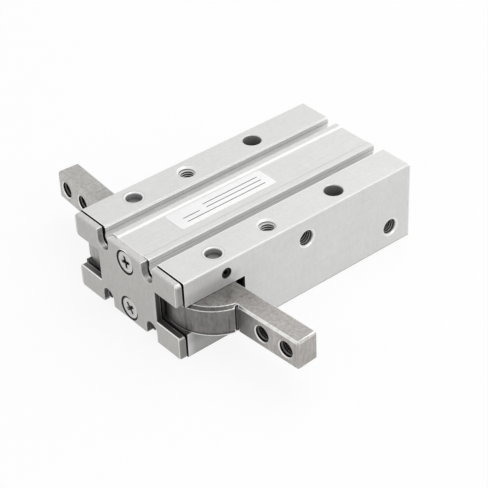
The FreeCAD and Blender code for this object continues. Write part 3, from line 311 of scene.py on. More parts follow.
def outside(zone, least=0.0):
    """1 where a zone is 0, and the least value where it is 1."""
    def share(tree, place, patch):
        return remap(tree, zone(tree, place, patch), 0.0, 1.0, 1.0, least)
    return share


def at_least(zone, least):
    """A zone whose share never falls under the least value."""
    def share(tree, place, patch):
        return remap(tree, zone(tree, place, patch), 0.0, 1.0, least, 1.0)
    return share


def ring_zone(centre, axis, inner, outer, fade=0.03 * MM):
    """1 between two distances from an axis and 0 elsewhere."""
    return overlap(round_zone(centre, axis, outer, outer + fade),
                   outside(round_zone(centre, axis, inner - fade, inner)))


lower_half = outside(upper_half)
left_half = outside(right_half)


# Finishes

# The first two colours are painted highlights, the third is painted shade for gaps, pockets, hollows and shadows,
# and the last is the tone of the dirt patches.
PAINTED_HIGHLIGHT = (0.97, 0.97, 0.97)
PALE_HIGHLIGHT = (0.95, 0.95, 0.94)
PAINTED_SHADE = (0.012, 0.012, 0.012)
SOIL = (0.63, 0.602, 0.56)


def paint_zones(tree, place, patch, base, marks_and_painted_light):
    """Mixes each zone's colour over the base."""
    for zone, most, colour in marks_and_painted_light:
        share = math_node(tree, "MULTIPLY", zone(tree, place, patch), most)
        base = mix_colour(tree, share, base, colour)
    return base


def metal_finish(name, colour, streaks, metallic=0.85, rough=(0.34, 0.48), patches=0.08,
                 lines=0.06, mottle=0.05, edge=0.95, edge_reach=0.6 * MM, edge_range=(0.86, 0.60),
                 edge_zone=None, depth=9.0 * MM, dark=0.28, bump=0.02 * MM, unshaded_zone=None,
                 open_range=(0.25, 0.8), only_local=True, marks_and_painted_light=(), painted_light_and_shade=()):
    """Metal with streaks, patches and marks, painted highlights along its outer edges, painted light and shade in
    its zones and painted shade in its holes and hollows.
    """
    material, tree, shader, place = new_finish(name)
    line = grain(tree, place, streaks, 4200.0)
    patch = grain(tree, place, (1.0, 1.0, 1.0), 90.0, 4.0)
    speck = grain(tree, place, (1.0, 1.0, 1.0), 5200.0, 1.0)
    low = tuple(c * (1.0 - lines) for c in colour)
    high = tuple(min(1.0, c * (1.0 + lines)) for c in colour)
    base = mix_colour(tree, remap(tree, line, 0.3, 0.7, 0.0, 1.0), low, high)
    soiled = remap(tree, patch, 0.35, 0.7, 0.0, patches)
    base = mix_colour(tree, soiled, base, tuple(c * s for c, s in zip(colour, SOIL)))
    # Marks and painted light and shade, laid under the edge highlight.
    base = paint_zones(tree, place, patch, base, marks_and_painted_light)
    cloud = grain(tree, place, (1.0, 1.0, 0.5), 900.0, 5.0, 0.65)
    dull = add_node(tree, "ShaderNodeVectorMath", {0: base}, operation="SCALE")
    tree.links.new(remap(tree, cloud, 0.35, 0.65, 1.0 - mottle, 1.0 + mottle), dull.inputs["Scale"])
    base = dull.outputs["Vector"]
    # Painted highlight: the outer edges are mixed towards a pale colour, for the light that their rounds catch.
    edge_highlight = math_node(tree, "MULTIPLY", edge_mask(tree, edge_reach, *edge_range), edge)
    if edge_zone:
        edge_highlight = math_node(tree, "MULTIPLY", edge_highlight, edge_zone(tree, place, patch))
    base = mix_colour(tree, edge_highlight, base, PALE_HIGHLIGHT)
    # More painted light and shade, laid over the edge highlight.
    base = paint_zones(tree, place, patch, base, painted_light_and_shade)
    # Painted shade: the colour is darkened where the surface is hemmed in, as in holes and hollows, except in the
    # unshaded zone.
    occlusion_shade = remap(tree, shade(tree, depth, only_local), *open_range, dark, 1.0)
    if unshaded_zone:
        occlusion_shade = math_node(tree, "MAXIMUM", occlusion_shade, unshaded_zone(tree, place, patch))
    shaded = add_node(tree, "ShaderNodeVectorMath", {0: base}, operation="SCALE")
    tree.links.new(occlusion_shade, shaded.inputs["Scale"])
    tree.links.new(shaded.outputs["Vector"], shader.inputs["Base Color"])
    shader.inputs["Metallic"].default_value = metallic
    uneven = math_node(tree, "ADD", math_node(tree, "MULTIPLY", line, 0.5),
                       math_node(tree, "MULTIPLY", patch, 0.5))
    tree.links.new(remap(tree, uneven, 0.3, 0.7, *rough), shader.inputs["Roughness"])
    height = math_node(tree, "ADD", line, math_node(tree, "MULTIPLY", speck, 0.6))
    relief = add_node(tree, "ShaderNodeBump", {
        "Height": height, "Distance": bump, "Strength": 0.6,
        "Normal": soften(tree, 0.14 * MM)})
    tree.links.new(relief.outputs["Normal"], shader.inputs["Normal"])
    return material


def soft_finish(name, colour, rough, bump, scale, blotch=0.1):
    """Plastic, rubber or film with a fine grain."""
    material, tree, shader, place = new_finish(name)
    patch = grain(tree, place, (1.0, 1.0, 1.0), scale * 0.1, 3.0)
    fine = grain(tree, place, (1.0, 1.0, 1.0), scale, 2.0)
    low = tuple(c * (1.0 - blotch) for c in colour)
    high = tuple(min(1.0, c * (1.0 + 0.5 * blotch)) for c in colour)
    tree.links.new(mix_colour(tree, remap(tree, patch, 0.3, 0.7, 0.0, 1.0), low, high),
                   shader.inputs["Base Color"])
    tree.links.new(remap(tree, patch, 0.3, 0.7, rough - 0.05, rough + 0.06),
                   shader.inputs["Roughness"])
    relief = add_node(tree, "ShaderNodeBump", {
        "Height": fine, "Distance": bump, "Strength": 0.5})
    tree.links.new(relief.outputs["Normal"], shader.inputs["Normal"])
    return material


# Pieces and their places

def dress(node, material):
    """Gives a frame node its finish."""
    mesh = frame["nodes"][node].data
    if not mesh.materials:
        mesh.materials.append(material)
    for index in range(len(mesh.materials)):
        mesh.materials[index] = material


def keep_piece(shape, name, body, material, sharp=35.0):
    """Turns a finished bmesh into a piece that rides on its body."""
    bmesh.ops.remove_doubles(shape, verts=shape.verts[:], dist=1e-7)
    bmesh.ops.recalc_face_normals(shape, faces=shape.faces[:])
    mesh = bpy.data.meshes.new(name)
    shape.to_mesh(mesh)
    shape.free()
    piece = bpy.data.objects.new(name, mesh)
    bpy.context.scene.collection.objects.link(piece)
    mesh.materials.append(material)
    for face in mesh.polygons:
        face.use_smooth = True
    mesh.set_sharp_from_angle(angle=math.radians(sharp))
    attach(piece, body)
    return piece


def wind_thread(shape, mouth, outward, depth, radius, height, pitch, start, twist):
    """Winds one inner thread, a closed ridge that climbs down a hole's wall."""
    steps = 28
    turns = max(1, int((depth - start) / pitch))
    wall, crest = radius + 0.03 * MM, radius - height
    half_base, half_crest = 0.46 * pitch, 0.07 * pitch
    low = shape.verts.new((wall, 0.0, -half_base))
    crest_low = shape.verts.new((crest, 0.0, -half_crest))
    crest_high = shape.verts.new((crest, 0.0, half_crest))
    high = shape.verts.new((wall, 0.0, half_base))
    profile = [low, crest_low, crest_high, high]
    edges = [shape.edges.new((profile[i], profile[(i + 1) % 4])) for i in range(4)]
    before = set(shape.verts)
    wound = bmesh.ops.spin(shape, geom=profile + edges, cent=(0.0, 0.0, 0.0), axis=(0.0, 0.0, 1.0),
                           dvec=(0.0, 0.0, -pitch / steps), angle=math.tau * turns,
                           steps=steps * turns, use_duplicate=False)
    last = [item for item in wound["geom_last"] if isinstance(item, bmesh.types.BMEdge)]
    bmesh.ops.contextual_create(shape, geom=edges)
    bmesh.ops.contextual_create(shape, geom=last)
    made = profile + [vert for vert in shape.verts if vert not in before]
    turn = Vector((0.0, 0.0, 1.0)).rotation_difference(outward).to_matrix().to_4x4()
    place = (Matrix.Translation(mouth - outward * (start + 0.5 * pitch)) @ turn
             @ Matrix.Rotation(twist, 4, "Z"))
    bmesh.ops.transform(shape, matrix=place, verts=made)


def threads(name, body, holes, material, start=0.6 * MM, twist=0.0):
    """One piece that holds the threads of like holes: (mouth, outward, depth) each."""
    sizes = bpy.context.scene.gripper_sizes
    shape = bmesh.new()
    for mouth, outward, depth in holes:
        wind_thread(shape, Vector(mouth), Vector(outward).normalized(), depth, sizes.hole_radius,
                    sizes.thread_height, sizes.thread_pitch, start, twist)
    return keep_piece(shape, name, body, material)


class GRIPPER_OT_finish_alloy(bpy.types.Operator):
    """Gives the body, the rear cap and the piston their alloy finishes"""

    bl_idname = "gripper.finish_alloy"
    bl_label = "Finish the alloy"

    def execute(self, context):
        colours = context.scene.gripper_colours
        anodised = self.anodised_finish(tuple(colours.alloy))
        dress("housing", anodised)
        dress("rear_cap", anodised)
        self.thread_finish()
        bare = metal_finish("bare_alloy", tuple(c * 0.9 for c in colours.alloy), (1.0, 0.3, 1.0),
                            rough=(0.28, 0.4))
        dress("piston", bare)
        return {"FINISHED"}

    def anodised_finish(self, colour):
        """Clear anodised alloy with painted light and shade in its grooves, holes, pockets and gaps, and painted
        highlights along edges and round hole mouths.
        """
        top_and_bottom = block_zone((None, None, 12.4), (None, None, None), 0.1)
        port_side = overlap(block_zone((23.4, None, None), (None, None, None), 0.1), right_half)
        pin_hole = overlap(round_zone(PIVOT, UPRIGHT, 2.56 * MM, 2.58 * MM),
                           block_zone((None, None, 4.95), (None, None, 12.3), 0.05))
        pin_hole_end = overlap(pin_hole, block_zone((None, None, 10.0), (None, None, None), 1.0))
        pin_mouth = overlap(ring_zone(PIVOT, UPRIGHT, 2.54 * MM, 2.84 * MM), top_and_bottom)
        pin_rim = overlap(ring_zone(PIVOT, UPRIGHT, 3.25 * MM, 3.4 * MM, 0.1 * MM), top_and_bottom)
        thread_mouth = overlap(ring_zone(TOP_THREAD, UPRIGHT, 2.45 * MM, 3.1 * MM), top_and_bottom)
        port_mouths = overlap(either(*(ring_zone(port, ACROSS, 2.45 * MM, 3.1 * MM) for port in PORTS)),
                              port_side)
        lock_screw_hole = overlap(
            round_zone(middle_of("pin_lock_screw_right"), ACROSS, 1.7 * MM, 1.76 * MM),
            block_zone((21.0, None, None), (None, None, None), 0.1))
        groove_mouth = overlap(block_zone((None, None, 7.0), (13.6, None, None), 0.5), upper_half)
        groove_walls = overlap(block_zone((8.55, None, 7.5), (12.7, None, 11.2), 0.15), upper_half)
        groove_lips = overlap(block_zone((8.55, None, 10.95), (12.7, None, 11.3), 0.1), upper_half)
        groove_edge = overlap(block_zone((12.38, None, 12.6), (12.64, None, None), 0.06), upper_half)
        lower_groove_end = overlap(block_zone((8.3, None, 7.0), (12.7, -36.0, None), 0.3), lower_half)
        front_beside = block_zone((8.6, None, None), (None, -41.70, None), 0.04)
        front_middle = block_zone((None, None, None), (8.6, -41.70, 12.3), 0.04)
        finger_pocket = block_zone((9.0, None, None), (23.8, -20.33, 4.93), 0.2)
        side_by_pocket = block_zone((24.0, None, None), (None, -23.5, 7.5), 2.0)
        lower_block = overlap(block_zone((24.0, -39.0, None), (None, -24.0, None), 3.0), lower_half)
        bottom_edge = overlap(block_zone((24.0, -41.6, 12.55), (None, None, None), 0.1), lower_half)
        # Places kept free of the painted shade of hollows.
        light_places = either(
            groove_mouth, pin_hole_end,
            overlap(either(ring_zone(PIVOT, UPRIGHT, 2.55 * MM, 2.9 * MM),
                           ring_zone(TOP_THREAD, UPRIGHT, 2.5 * MM, 3.2 * MM)), top_and_bottom),
            overlap(either(*(ring_zone(port, ACROSS, 2.45 * MM, 3.2 * MM) for port in PORTS)),
                    port_side))
        return metal_finish(
            "anodised_alloy", colour, (1.0, 0.02, 1.0), metallic=0.4, rough=(0.36, 0.46),
            lines=0.03, mottle=0.03, dark=0.34, unshaded_zone=light_places,
            # Painted light on the groove walls and a painted shade line along the groove lips.
            marks_and_painted_light=((groove_walls, 0.6, PALE_HIGHLIGHT), (groove_lips, 0.5, (0.2, 0.2, 0.2))),
            # Painted shade in the lock screw hole, behind the end plate, in and beside the finger pockets, on the
            # lower blocks, in the pin bores and lower groove ends, along the bottom edge and round the pin holes;
            # painted highlights along the groove edges and round the mouths of the pin holes, tapped holes and
            # ports.
            painted_light_and_shade=(
                (lock_screw_hole, 1.0, (0.035, 0.035, 0.035)), (front_beside, 1.0, PAINTED_SHADE),
                (front_middle, 1.0, PAINTED_SHADE), (groove_edge, 0.9, PAINTED_HIGHLIGHT), (finger_pocket, 0.9, PAINTED_SHADE),
                (side_by_pocket, 0.22, PAINTED_SHADE), (lower_block, 0.42, PAINTED_SHADE),
                (pin_hole, 0.85, (0.36, 0.36, 0.357)), (bottom_edge, 0.7, (0.12, 0.12, 0.12)),
                (pin_rim, 0.25, (0.2, 0.2, 0.2)), (pin_mouth, 0.9, PAINTED_HIGHLIGHT),
                (thread_mouth, 0.75, PAINTED_HIGHLIGHT), (port_mouths, 0.7, PAINTED_HIGHLIGHT),
                (lower_groove_end, 0.85, (0.06, 0.06, 0.06)),
            ))

    def thread_finish(self):
        """The turns of the threads in the alloy: painted shade on the flanks, painted highlights on the crests and
        painted light on the upper turns.
        """
        crests = either(round_zone(TOP_THREAD, UPRIGHT, 2.18 * MM, 2.34 * MM),
                        round_zone(REAR_THREAD, ALONG, 2.18 * MM, 2.34 * MM))
        port_crests = either(*(round_zone(port, ACROSS, 2.1 * MM, 2.2 * MM) for port in PORTS))
        upper_turns = block_zone((None, None, 11.7), (None, None, None), 0.3)
        # The base colour is painted shade; the crests and upper turns are painted light.
        metal_finish("thread_alloy", PAINTED_SHADE, (1.0, 1.0, 1.0), metallic=0.3, dark=0.3, edge=0.0,
                     only_local=False, unshaded_zone=either(crests, upper_turns, port_crests),
                     painted_light_and_shade=((upper_turns, 0.6, (0.9, 0.9, 0.89)), (crests, 1.0, (0.8, 0.8, 0.79)),
                              (port_crests, 1.0, (0.55, 0.55, 0.545))))


class GRIPPER_OT_finish_steel(bpy.types.Operator):
    """Gives the end plate, fingers, screws, pins and rings their steel finishes"""

    bl_idname = "gripper.finish_steel"
    bl_label = "Finish the steel"

    def execute(self, context):
        colours = context.scene.gripper_colours
        plate = self.plate_finish(tuple(colours.plate))
        finger = self.finger_finish(tuple(colours.finger))
        # Painted shade: the jaw threads are coloured near black, like the shade deep in the jaw holes.
        metal_finish("thread_steel", (0.06, 0.054, 0.047), (1.0, 1.0, 1.0), mottle=0.4,
                     depth=5.0 * MM, dark=0.3, edge=0.1, only_local=False)
        screw = self.screw_finish(tuple(colours.screw))
        # Painted shade: a dark ring on each pin's rim, where it meets its bore.
        pin_rim = ring_zone(PIVOT, UPRIGHT, 2.3 * MM, 2.6 * MM)
        pin = metal_finish("pin_steel", tuple(colours.pin), (1.0, 1.0, 0.2), edge=0.15,
                           rough=(0.3, 0.42), painted_light_and_shade=((pin_rim, 0.9, PAINTED_SHADE),))
        metal_finish("gap_shadow", (0.01, 0.01, 0.01), (1.0, 1.0, 1.0), edge=0.0, metallic=0.0,
                     rough=(0.7, 0.8))
        black = metal_finish("blackened_steel", (0.03, 0.03, 0.03), (1.0, 1.0, 1.0), edge=0.0)
        spring = metal_finish("spring_steel", (0.2, 0.2, 0.21), (1.0, 1.0, 1.0), edge=0.3)
        finishes = {
            "end_plate": plate, "end_plate_screw_upper": screw, "end_plate_screw_lower": screw,
            "finger_right": finger, "finger_left": finger, "pivot_pin_right": pin,
            "pivot_pin_left": pin, "pin_lock_screw_right": black, "pin_lock_screw_left": black,
            "drive_fork": finger, "roller_pin_right": pin, "roller_pin_left": pin,
            "cam_roller_right": pin, "cam_roller_left": pin, "piston_rod": screw,
            "piston_nut": spring, "rear_snap_ring": spring,
        }
        for node, finish in finishes.items():
            dress(node, finish)
        return {"FINISHED"}

    def plate_finish(self, colour):
        """Satin steel with painted shade in its windows, notches and screw seats, on its ends and on its rear
        face, painted light on its top and bottom and painted highlights along the window's edges.
        """
        window_walls = block_zone((13.15, -43.85, None), (23.4, None, 5.4), 0.06)
        notch_walls = block_zone((7.86, -43.9, 7.26), (12.94, None, None), 0.06)
        top_and_bottom = block_zone((None, -43.8, 12.3), (None, None, None), 0.1)
        ends = block_zone((23.75, None, None), (None, None, None), 0.15)
        window_sill = overlap(block_zone((13.3, None, 5.3), (23.4, -44.0, 5.52), 0.05), lower_half)
        corner_edge = block_zone((23.22, None, 5.4), (23.42, -44.0, None), 0.05)
        rear_beside = block_zone((8.6, -42.32, None), (None, None, None), 0.05)
        rear_middle = block_zone((None, -41.84, None), (8.6, None, None), 0.04)
        seats = either(*(round_zone(middle_of(node), ALONG, 3.97 * MM, 4.0 * MM)
                         for node in PLATE_SCREWS))
        highlight_tone, end_shade_tone = (0.97, 0.97, 0.95), (0.09, 0.086, 0.08)
        return metal_finish(
            "plate_steel", colour, (1.0, 1.0, 1.0), metallic=0.8, bump=0.03 * MM,
            edge_reach=0.3 * MM, edge_range=(0.95, 0.72),
            # Painted shade in the windows, the notches and the screw seats, and painted light on the top and
            # bottom faces.
            marks_and_painted_light=(
                (window_walls, 0.9, (0.13, 0.122, 0.112)),
                (overlap(notch_walls, lower_half), 0.93, (0.05, 0.05, 0.05)),
                (overlap(notch_walls, upper_half), 0.4, (0.2, 0.195, 0.185)),
                (top_and_bottom, 0.22, (0.85, 0.85, 0.84)), (seats, 1.0, PAINTED_SHADE),
            ),
            # Painted highlights along the lower window edge and the corner; painted shade on the ends and on the
            # rear face, where the plate meets the body.
            painted_light_and_shade=(
                (window_sill, 0.9, highlight_tone), (corner_edge, 0.6, highlight_tone),
                (overlap(ends, lower_half), 0.62, end_shade_tone),
                (overlap(ends, upper_half), 0.25, end_shade_tone),
                (rear_beside, 1.0, PAINTED_SHADE), (rear_middle, 0.9, PAINTED_SHADE),
            ))

    def finger_finish(self, colour):
        """Ground tool steel with painted shade towards the pivot, at the arms' roots and on the disc's chamfer,
        rubbing marks on the disc, a lighter left finger and painted highlights on the bevels and round the jaw
        holes.
        """
        shade_tone, deep_shade_tone = tuple(c * 0.45 for c in colour), tuple(c * 0.3 for c in colour)
        disc = round_zone(PIVOT, UPRIGHT, 14.8 * MM, 15.0 * MM)
        tip = block_zone((55.75, None, None), (None, None, None), 0.1)
        top_and_bottom = block_zone((None, None, 4.72), (None, None, None), 0.04)
        near_edges = block_zone((None, None, 3.6), (None, None, None), 0.2)
        right_sides = overlap(block_zone((None, None, None), (None, None, 4.68), 0.04), right_half)
        root = overlap(round_zone(PIVOT, UPRIGHT, 16.5 * MM, 27.0 * MM), outside(disc, 0.72))
        disc_bevel = overlap(block_zone((None, None, 3.8), (None, None, 4.7), 0.03),
                             round_zone(PIVOT, UPRIGHT, 14.7 * MM, 14.8 * MM))
        arm_bevel = overlap(block_zone((None, None, 4.25), (None, None, 4.72), 0.03),
                            outside(round_zone(PIVOT, UPRIGHT, 16.0 * MM, 18.0 * MM)),
                            outside(tip, 0.1), right_half)
        # Painted highlight round each jaw hole's mouth and painted shade inside it.
        hole_tones = ((2.8, 2.9, 0.75, (0.93, 0.92, 0.9)), (2.53, 2.56, 1.0, (0.035, 0.031, 0.027)))
        return metal_finish(
            "finger_steel", colour, (1.0, 1.0, 0.05), metallic=0.8, rough=(0.3, 0.42),
            patches=0.4, lines=0.08, mottle=0.16, edge_reach=0.3 * MM, edge_range=(0.97, 0.86),
            edge_zone=overlap(at_least(near_edges, 0.2), outside(tip, 0.45), at_least(right_half, 0.25)),
            # Painted shade towards the pivot, at the roots, on the top and bottom faces and on the disc's chamfer;
            # painted light on the left finger and the arm bevels; the rubbing marks on the disc are real.
            marks_and_painted_light=(
                (round_zone(PIVOT, UPRIGHT, 11.0 * MM, 24.0 * MM, 0.4, 0.7), 1.0, shade_tone),
                (overlap(right_sides, root), 0.95, deep_shade_tone),
                (overlap(outside(disc), left_half), 0.3, (0.72, 0.71, 0.69)),
                (overlap(disc, marks), 0.45, (0.05, 0.045, 0.04)),
                (top_and_bottom, 0.2, deep_shade_tone), (disc_bevel, 0.6, (0.06, 0.055, 0.05)),
                (arm_bevel, 0.7, (0.9, 0.89, 0.87)),
            ),
            painted_light_and_shade=tuple(
                (round_zone(centre, outward, inner * MM, outer * MM), most, tone)
                for centre, outward in RIGHT_JAW_HOLES
                for inner, outer, most, tone in hole_tones))

    def screw_finish(self, colour):
        """Bright steel heads with light and dark rings, the outermost a painted highlight on the rounded rim, and
        painted shade in the cross recesses.
        """
        # The outermost ring is a painted highlight on the head's rounded rim.
        rings = ((2.62, 2.78, 0.5, 0.95), (2.85, 2.98, 0.3, 0.1), (3.12, 3.3, 0.7, 0.95))
        return metal_finish(
            "screw_finish", colour, (1.0, 1.0, 1.0), metallic=0.8, rough=(0.3, 0.42),
            depth=1.2 * MM, dark=0.03, open_range=(0.4, 0.95), edge=0.0,
            marks_and_painted_light=tuple((ring_zone(middle_of(node), ALONG, inner * MM, outer * MM), most,
                          (tone, tone, tone))
                         for node in PLATE_SCREWS for inner, outer, most, tone in rings))


class GRIPPER_OT_finish_seals(bpy.types.Operator):
    """Gives the seals, damper, wear ring and magnet their finishes"""

    bl_idname = "gripper.finish_seals"
    bl_label = "Finish the seals"

    def execute(self, context):
        colours = context.scene.gripper_colours
        rubber = soft_finish("seal_rubber", tuple(colours.rubber), rough=0.6, bump=0.02 * MM,
                             scale=3000.0)
        plastic = soft_finish("ring_plastic", (0.62, 0.6, 0.52), rough=0.45, bump=0.01 * MM,
                              scale=3000.0)
        magnet = soft_finish("magnet_black", (0.03, 0.03, 0.033), rough=0.5, bump=0.01 * MM,
                             scale=3000.0)
        for node in ("piston_seal", "rod_seal", "rod_damper", "rear_cap_gasket"):
            dress(node, rubber)
        dress("piston_wear_ring", plastic)
        dress("piston_magnet", magnet)
        return {"FINISHED"}


class GRIPPER_OT_cut_threads(bpy.types.Operator):
    """Winds the threads of the mounting holes, the air ports and the jaw holes"""

    bl_idname = "gripper.cut_threads"
    bl_label = "Cut the threads"

    def execute(self, context):
        alloy = bpy.data.materials["thread_alloy"]
        steel = bpy.data.materials["thread_steel"]
        top = self.tapped("top_threads", reach=0.6, depth=10.0)
        rear = self.tapped("rear_threads", reach=0.6, depth=9.0)
        ports = self.tapped("front_air_port", "rear_air_port", reach=3.3, depth=6.2)
        threads("top_threads", "housing_assembly", top, alloy)
        threads("rear_threads", "housing_assembly", rear, alloy)
        threads("port_threads", "housing_assembly", ports, alloy,
                start=0.4 * MM, twist=math.radians(150.0))
        for word in ("right", "left"):
            jaws = self.tapped(f"inner_jaw_thread_{word}", f"outer_jaw_thread_{word}",
                               reach=3.55, depth=7.2)
            threads(f"jaw_threads_{word}", f"{word}_finger", jaws, steel,
                    start=0.3 * MM)
        return {"FINISHED"}

    def tapped(self, *names, reach, depth):
        """Mouth, outward direction and depth of each hole of the mounts. Reach and depth are in mm."""
        return [(centre + outward * reach * MM, outward, depth * MM)
                for name in names for centre, outward in holes_of(name)]


class GRIPPER_OT_turn_screws(bpy.types.Operator):
    """Makes the two countersunk screws of the end plate with their cross recesses"""

    bl_idname = "gripper.turn_screws"
    bl_label = "Turn the plate screws"

    head_radius = 3.22 * MM
    sunk_by = 0.22 * MM
    cross_span = 4.0 * MM
    cross_wing = 0.86 * MM
    cross_depth = 1.1 * MM

    def execute(self, context):
        steel = bpy.data.materials["screw_finish"]
        gap = bpy.data.materials["gap_shadow"]
        for node, twist in zip(PLATE_SCREWS, (12.0, 38.0)):
            middle = middle_of(node)
            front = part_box(node)[0].y
            shape = bmesh.new()
            head = self.cross_head(shape)
            self.seat(shape, head)
            turned = (Matrix.Translation((middle.x, front + self.sunk_by, middle.z))
                      @ Matrix.Rotation(math.radians(90.0), 4, "X")
                      @ Matrix.Rotation(math.radians(twist), 4, "Z"))
            bmesh.ops.transform(shape, matrix=turned, verts=shape.verts[:])
            piece = keep_piece(shape, f"{node}_head", "housing_assembly", steel,
                               sharp=12.0)
            piece.data.materials.append(gap)
            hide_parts(node)
        return {"FINISHED"}

    def cross_head(self, shape):
        """A flat face with a tapered cross sunk in it. Returns the face's rim."""
        span, wing = self.cross_span, self.cross_wing
        notch_spread, taper = 1.35, 0.8
        grid = bmesh.ops.create_grid(shape, x_segments=3, y_segments=3, size=span / 2)["verts"]
        inner = span / 6
        for vert in grid:
            for axis in (0, 1):
                if abs(abs(vert.co[axis]) - inner) < inner / 2:
                    vert.co[axis] = math.copysign(wing / 2, vert.co[axis])
        corners = [face for face in shape.faces
                   if min(abs(face.calc_center_median()[axis]) for axis in (0, 1)) > wing / 2]
        bmesh.ops.delete(shape, geom=corners, context="FACES")
        notches = [vert for vert in shape.verts if abs(abs(vert.co.x) - wing / 2) < 1e-6
                   and abs(abs(vert.co.y) - wing / 2) < 1e-6]
        bmesh.ops.scale(shape, vec=(notch_spread, notch_spread, 1.0), verts=notches)
        tops = shape.faces[:]
        floor = bmesh.ops.extrude_face_region(shape, geom=tops)["geom"]
        bmesh.ops.delete(shape, geom=[face for face in tops if face.is_valid], context="FACES_ONLY")
        sunk = [item for item in floor if isinstance(item, bmesh.types.BMVert)]
        bmesh.ops.scale(shape, vec=(taper, taper, 1.0), verts=sunk)
        bmesh.ops.translate(shape, vec=(0.0, 0.0, -self.cross_depth), verts=sunk)
        cross = [edge for edge in shape.edges if edge.is_boundary]
        ring = bmesh.ops.create_circle(shape, segments=64, radius=self.head_radius)["verts"]
        rim = list({edge for vert in ring for edge in vert.link_edges})
        bmesh.ops.triangle_fill(shape, use_beauty=True, edges=cross + rim)
        return rim

    def seat(self, shape, rim):
        """Rounds the head's rim down to a ledge in the plate's seat, coloured black as painted shadow of the gap.
        """
        # Slot 1 holds the near black finish that paints the gap's shadow.
        bright, dark = 0, 1
        steps = ((3.27, -0.02, bright), (3.3, -0.07, bright), (3.32, -0.35, dark),
                 (3.92, 0.14, dark), (3.92, -2.0, dark))
        radius = self.head_radius / MM
        for wide, height, slot in steps:
            band = bmesh.ops.extrude_edge_only(shape, edges=rim)["geom"]
            verts = [item for item in band if isinstance(item, bmesh.types.BMVert)]
            rim = [item for item in band if isinstance(item, bmesh.types.BMEdge)
                   and item.verts[0] in verts and item.verts[1] in verts]
            for face in (item for item in band if isinstance(item, bmesh.types.BMFace)):
                face.material_index = slot
            bmesh.ops.scale(shape, vec=(wide / radius, wide / radius, 1.0), verts=verts)
            drop = height * MM - verts[0].co.z
            bmesh.ops.translate(shape, vec=(0.0, 0.0, drop), verts=verts)
            radius = wide
        for face in bmesh.ops.contextual_create(shape, geom=rim)["faces"]:
            face.material_index = dark


class GRIPPER_OT_apply_label(bpy.types.Operator):
    """Lays the bare white name plate into its recess"""

    bl_idname = "gripper.apply_label"
    bl_label = "Apply the label"

    def execute(self, context):
        colours = context.scene.gripper_colours
        sizes = context.scene.gripper_sizes
        film = soft_finish("label_film", tuple(colours.film), rough=0.42, bump=0.004 * MM,
                           scale=2400.0, blotch=0.02)
        low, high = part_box("name_label")
        shape = bmesh.new()
        bmesh.ops.create_cube(shape, size=1.0)
        span, centre = high - low, (high + low) / 2
        bmesh.ops.scale(shape, vec=span, verts=shape.verts[:])
        bmesh.ops.translate(shape, vec=centre, verts=shape.verts[:])
        uprights = [edge for edge in shape.edges
                    if abs(edge.verts[0].co.z - edge.verts[1].co.z) > span.z / 2]
        bmesh.ops.bevel(shape, geom=uprights, offset=sizes.label_corner, segments=6,
                        profile=0.5, affect="EDGES", material=-1)
        rims = [edge for edge in shape.edges
                if min(edge.verts[0].co.z, edge.verts[1].co.z) > high.z - span.z / 4]
        bmesh.ops.bevel(shape, geom=rims, offset=span.z * 0.3, segments=2, profile=0.5,
                        affect="EDGES", material=-1)
        piece = keep_piece(shape, "label_sheet", "housing_assembly", film)
        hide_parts("name_label")
        ink = soft_finish("label_ink", (0.05, 0.05, 0.052), rough=0.5, bump=0.002 * MM,
                          scale=2400.0)
        self.rule_lines(low, high, ink)
        return {"FINISHED"}

    def rule_lines(self, low, high, ink):
        """Prints plain lines to write on. Each row holds shares: its start, its end, its place across."""
        rows = ((0.34, 0.92, 0.30), (0.10, 0.27, 0.52), (0.34, 0.92, 0.52), (0.10, 0.92, 0.76))
        line_width, ink_height = 0.3 * MM, 0.008 * MM
        wide, long = high.x - low.x, high.y - low.y
        shape = bmesh.new()
        for start, end, across in rows:
            strip = bmesh.ops.create_cube(shape, size=1.0)["verts"]
            bmesh.ops.scale(shape, vec=(line_width, (end - start) * long, ink_height), verts=strip)
            place = (low.x + across * wide, low.y + (start + end) / 2 * long, high.z)
            bmesh.ops.translate(shape, vec=place, verts=strip)
        keep_piece(shape, "label_lines", "housing_assembly", ink)


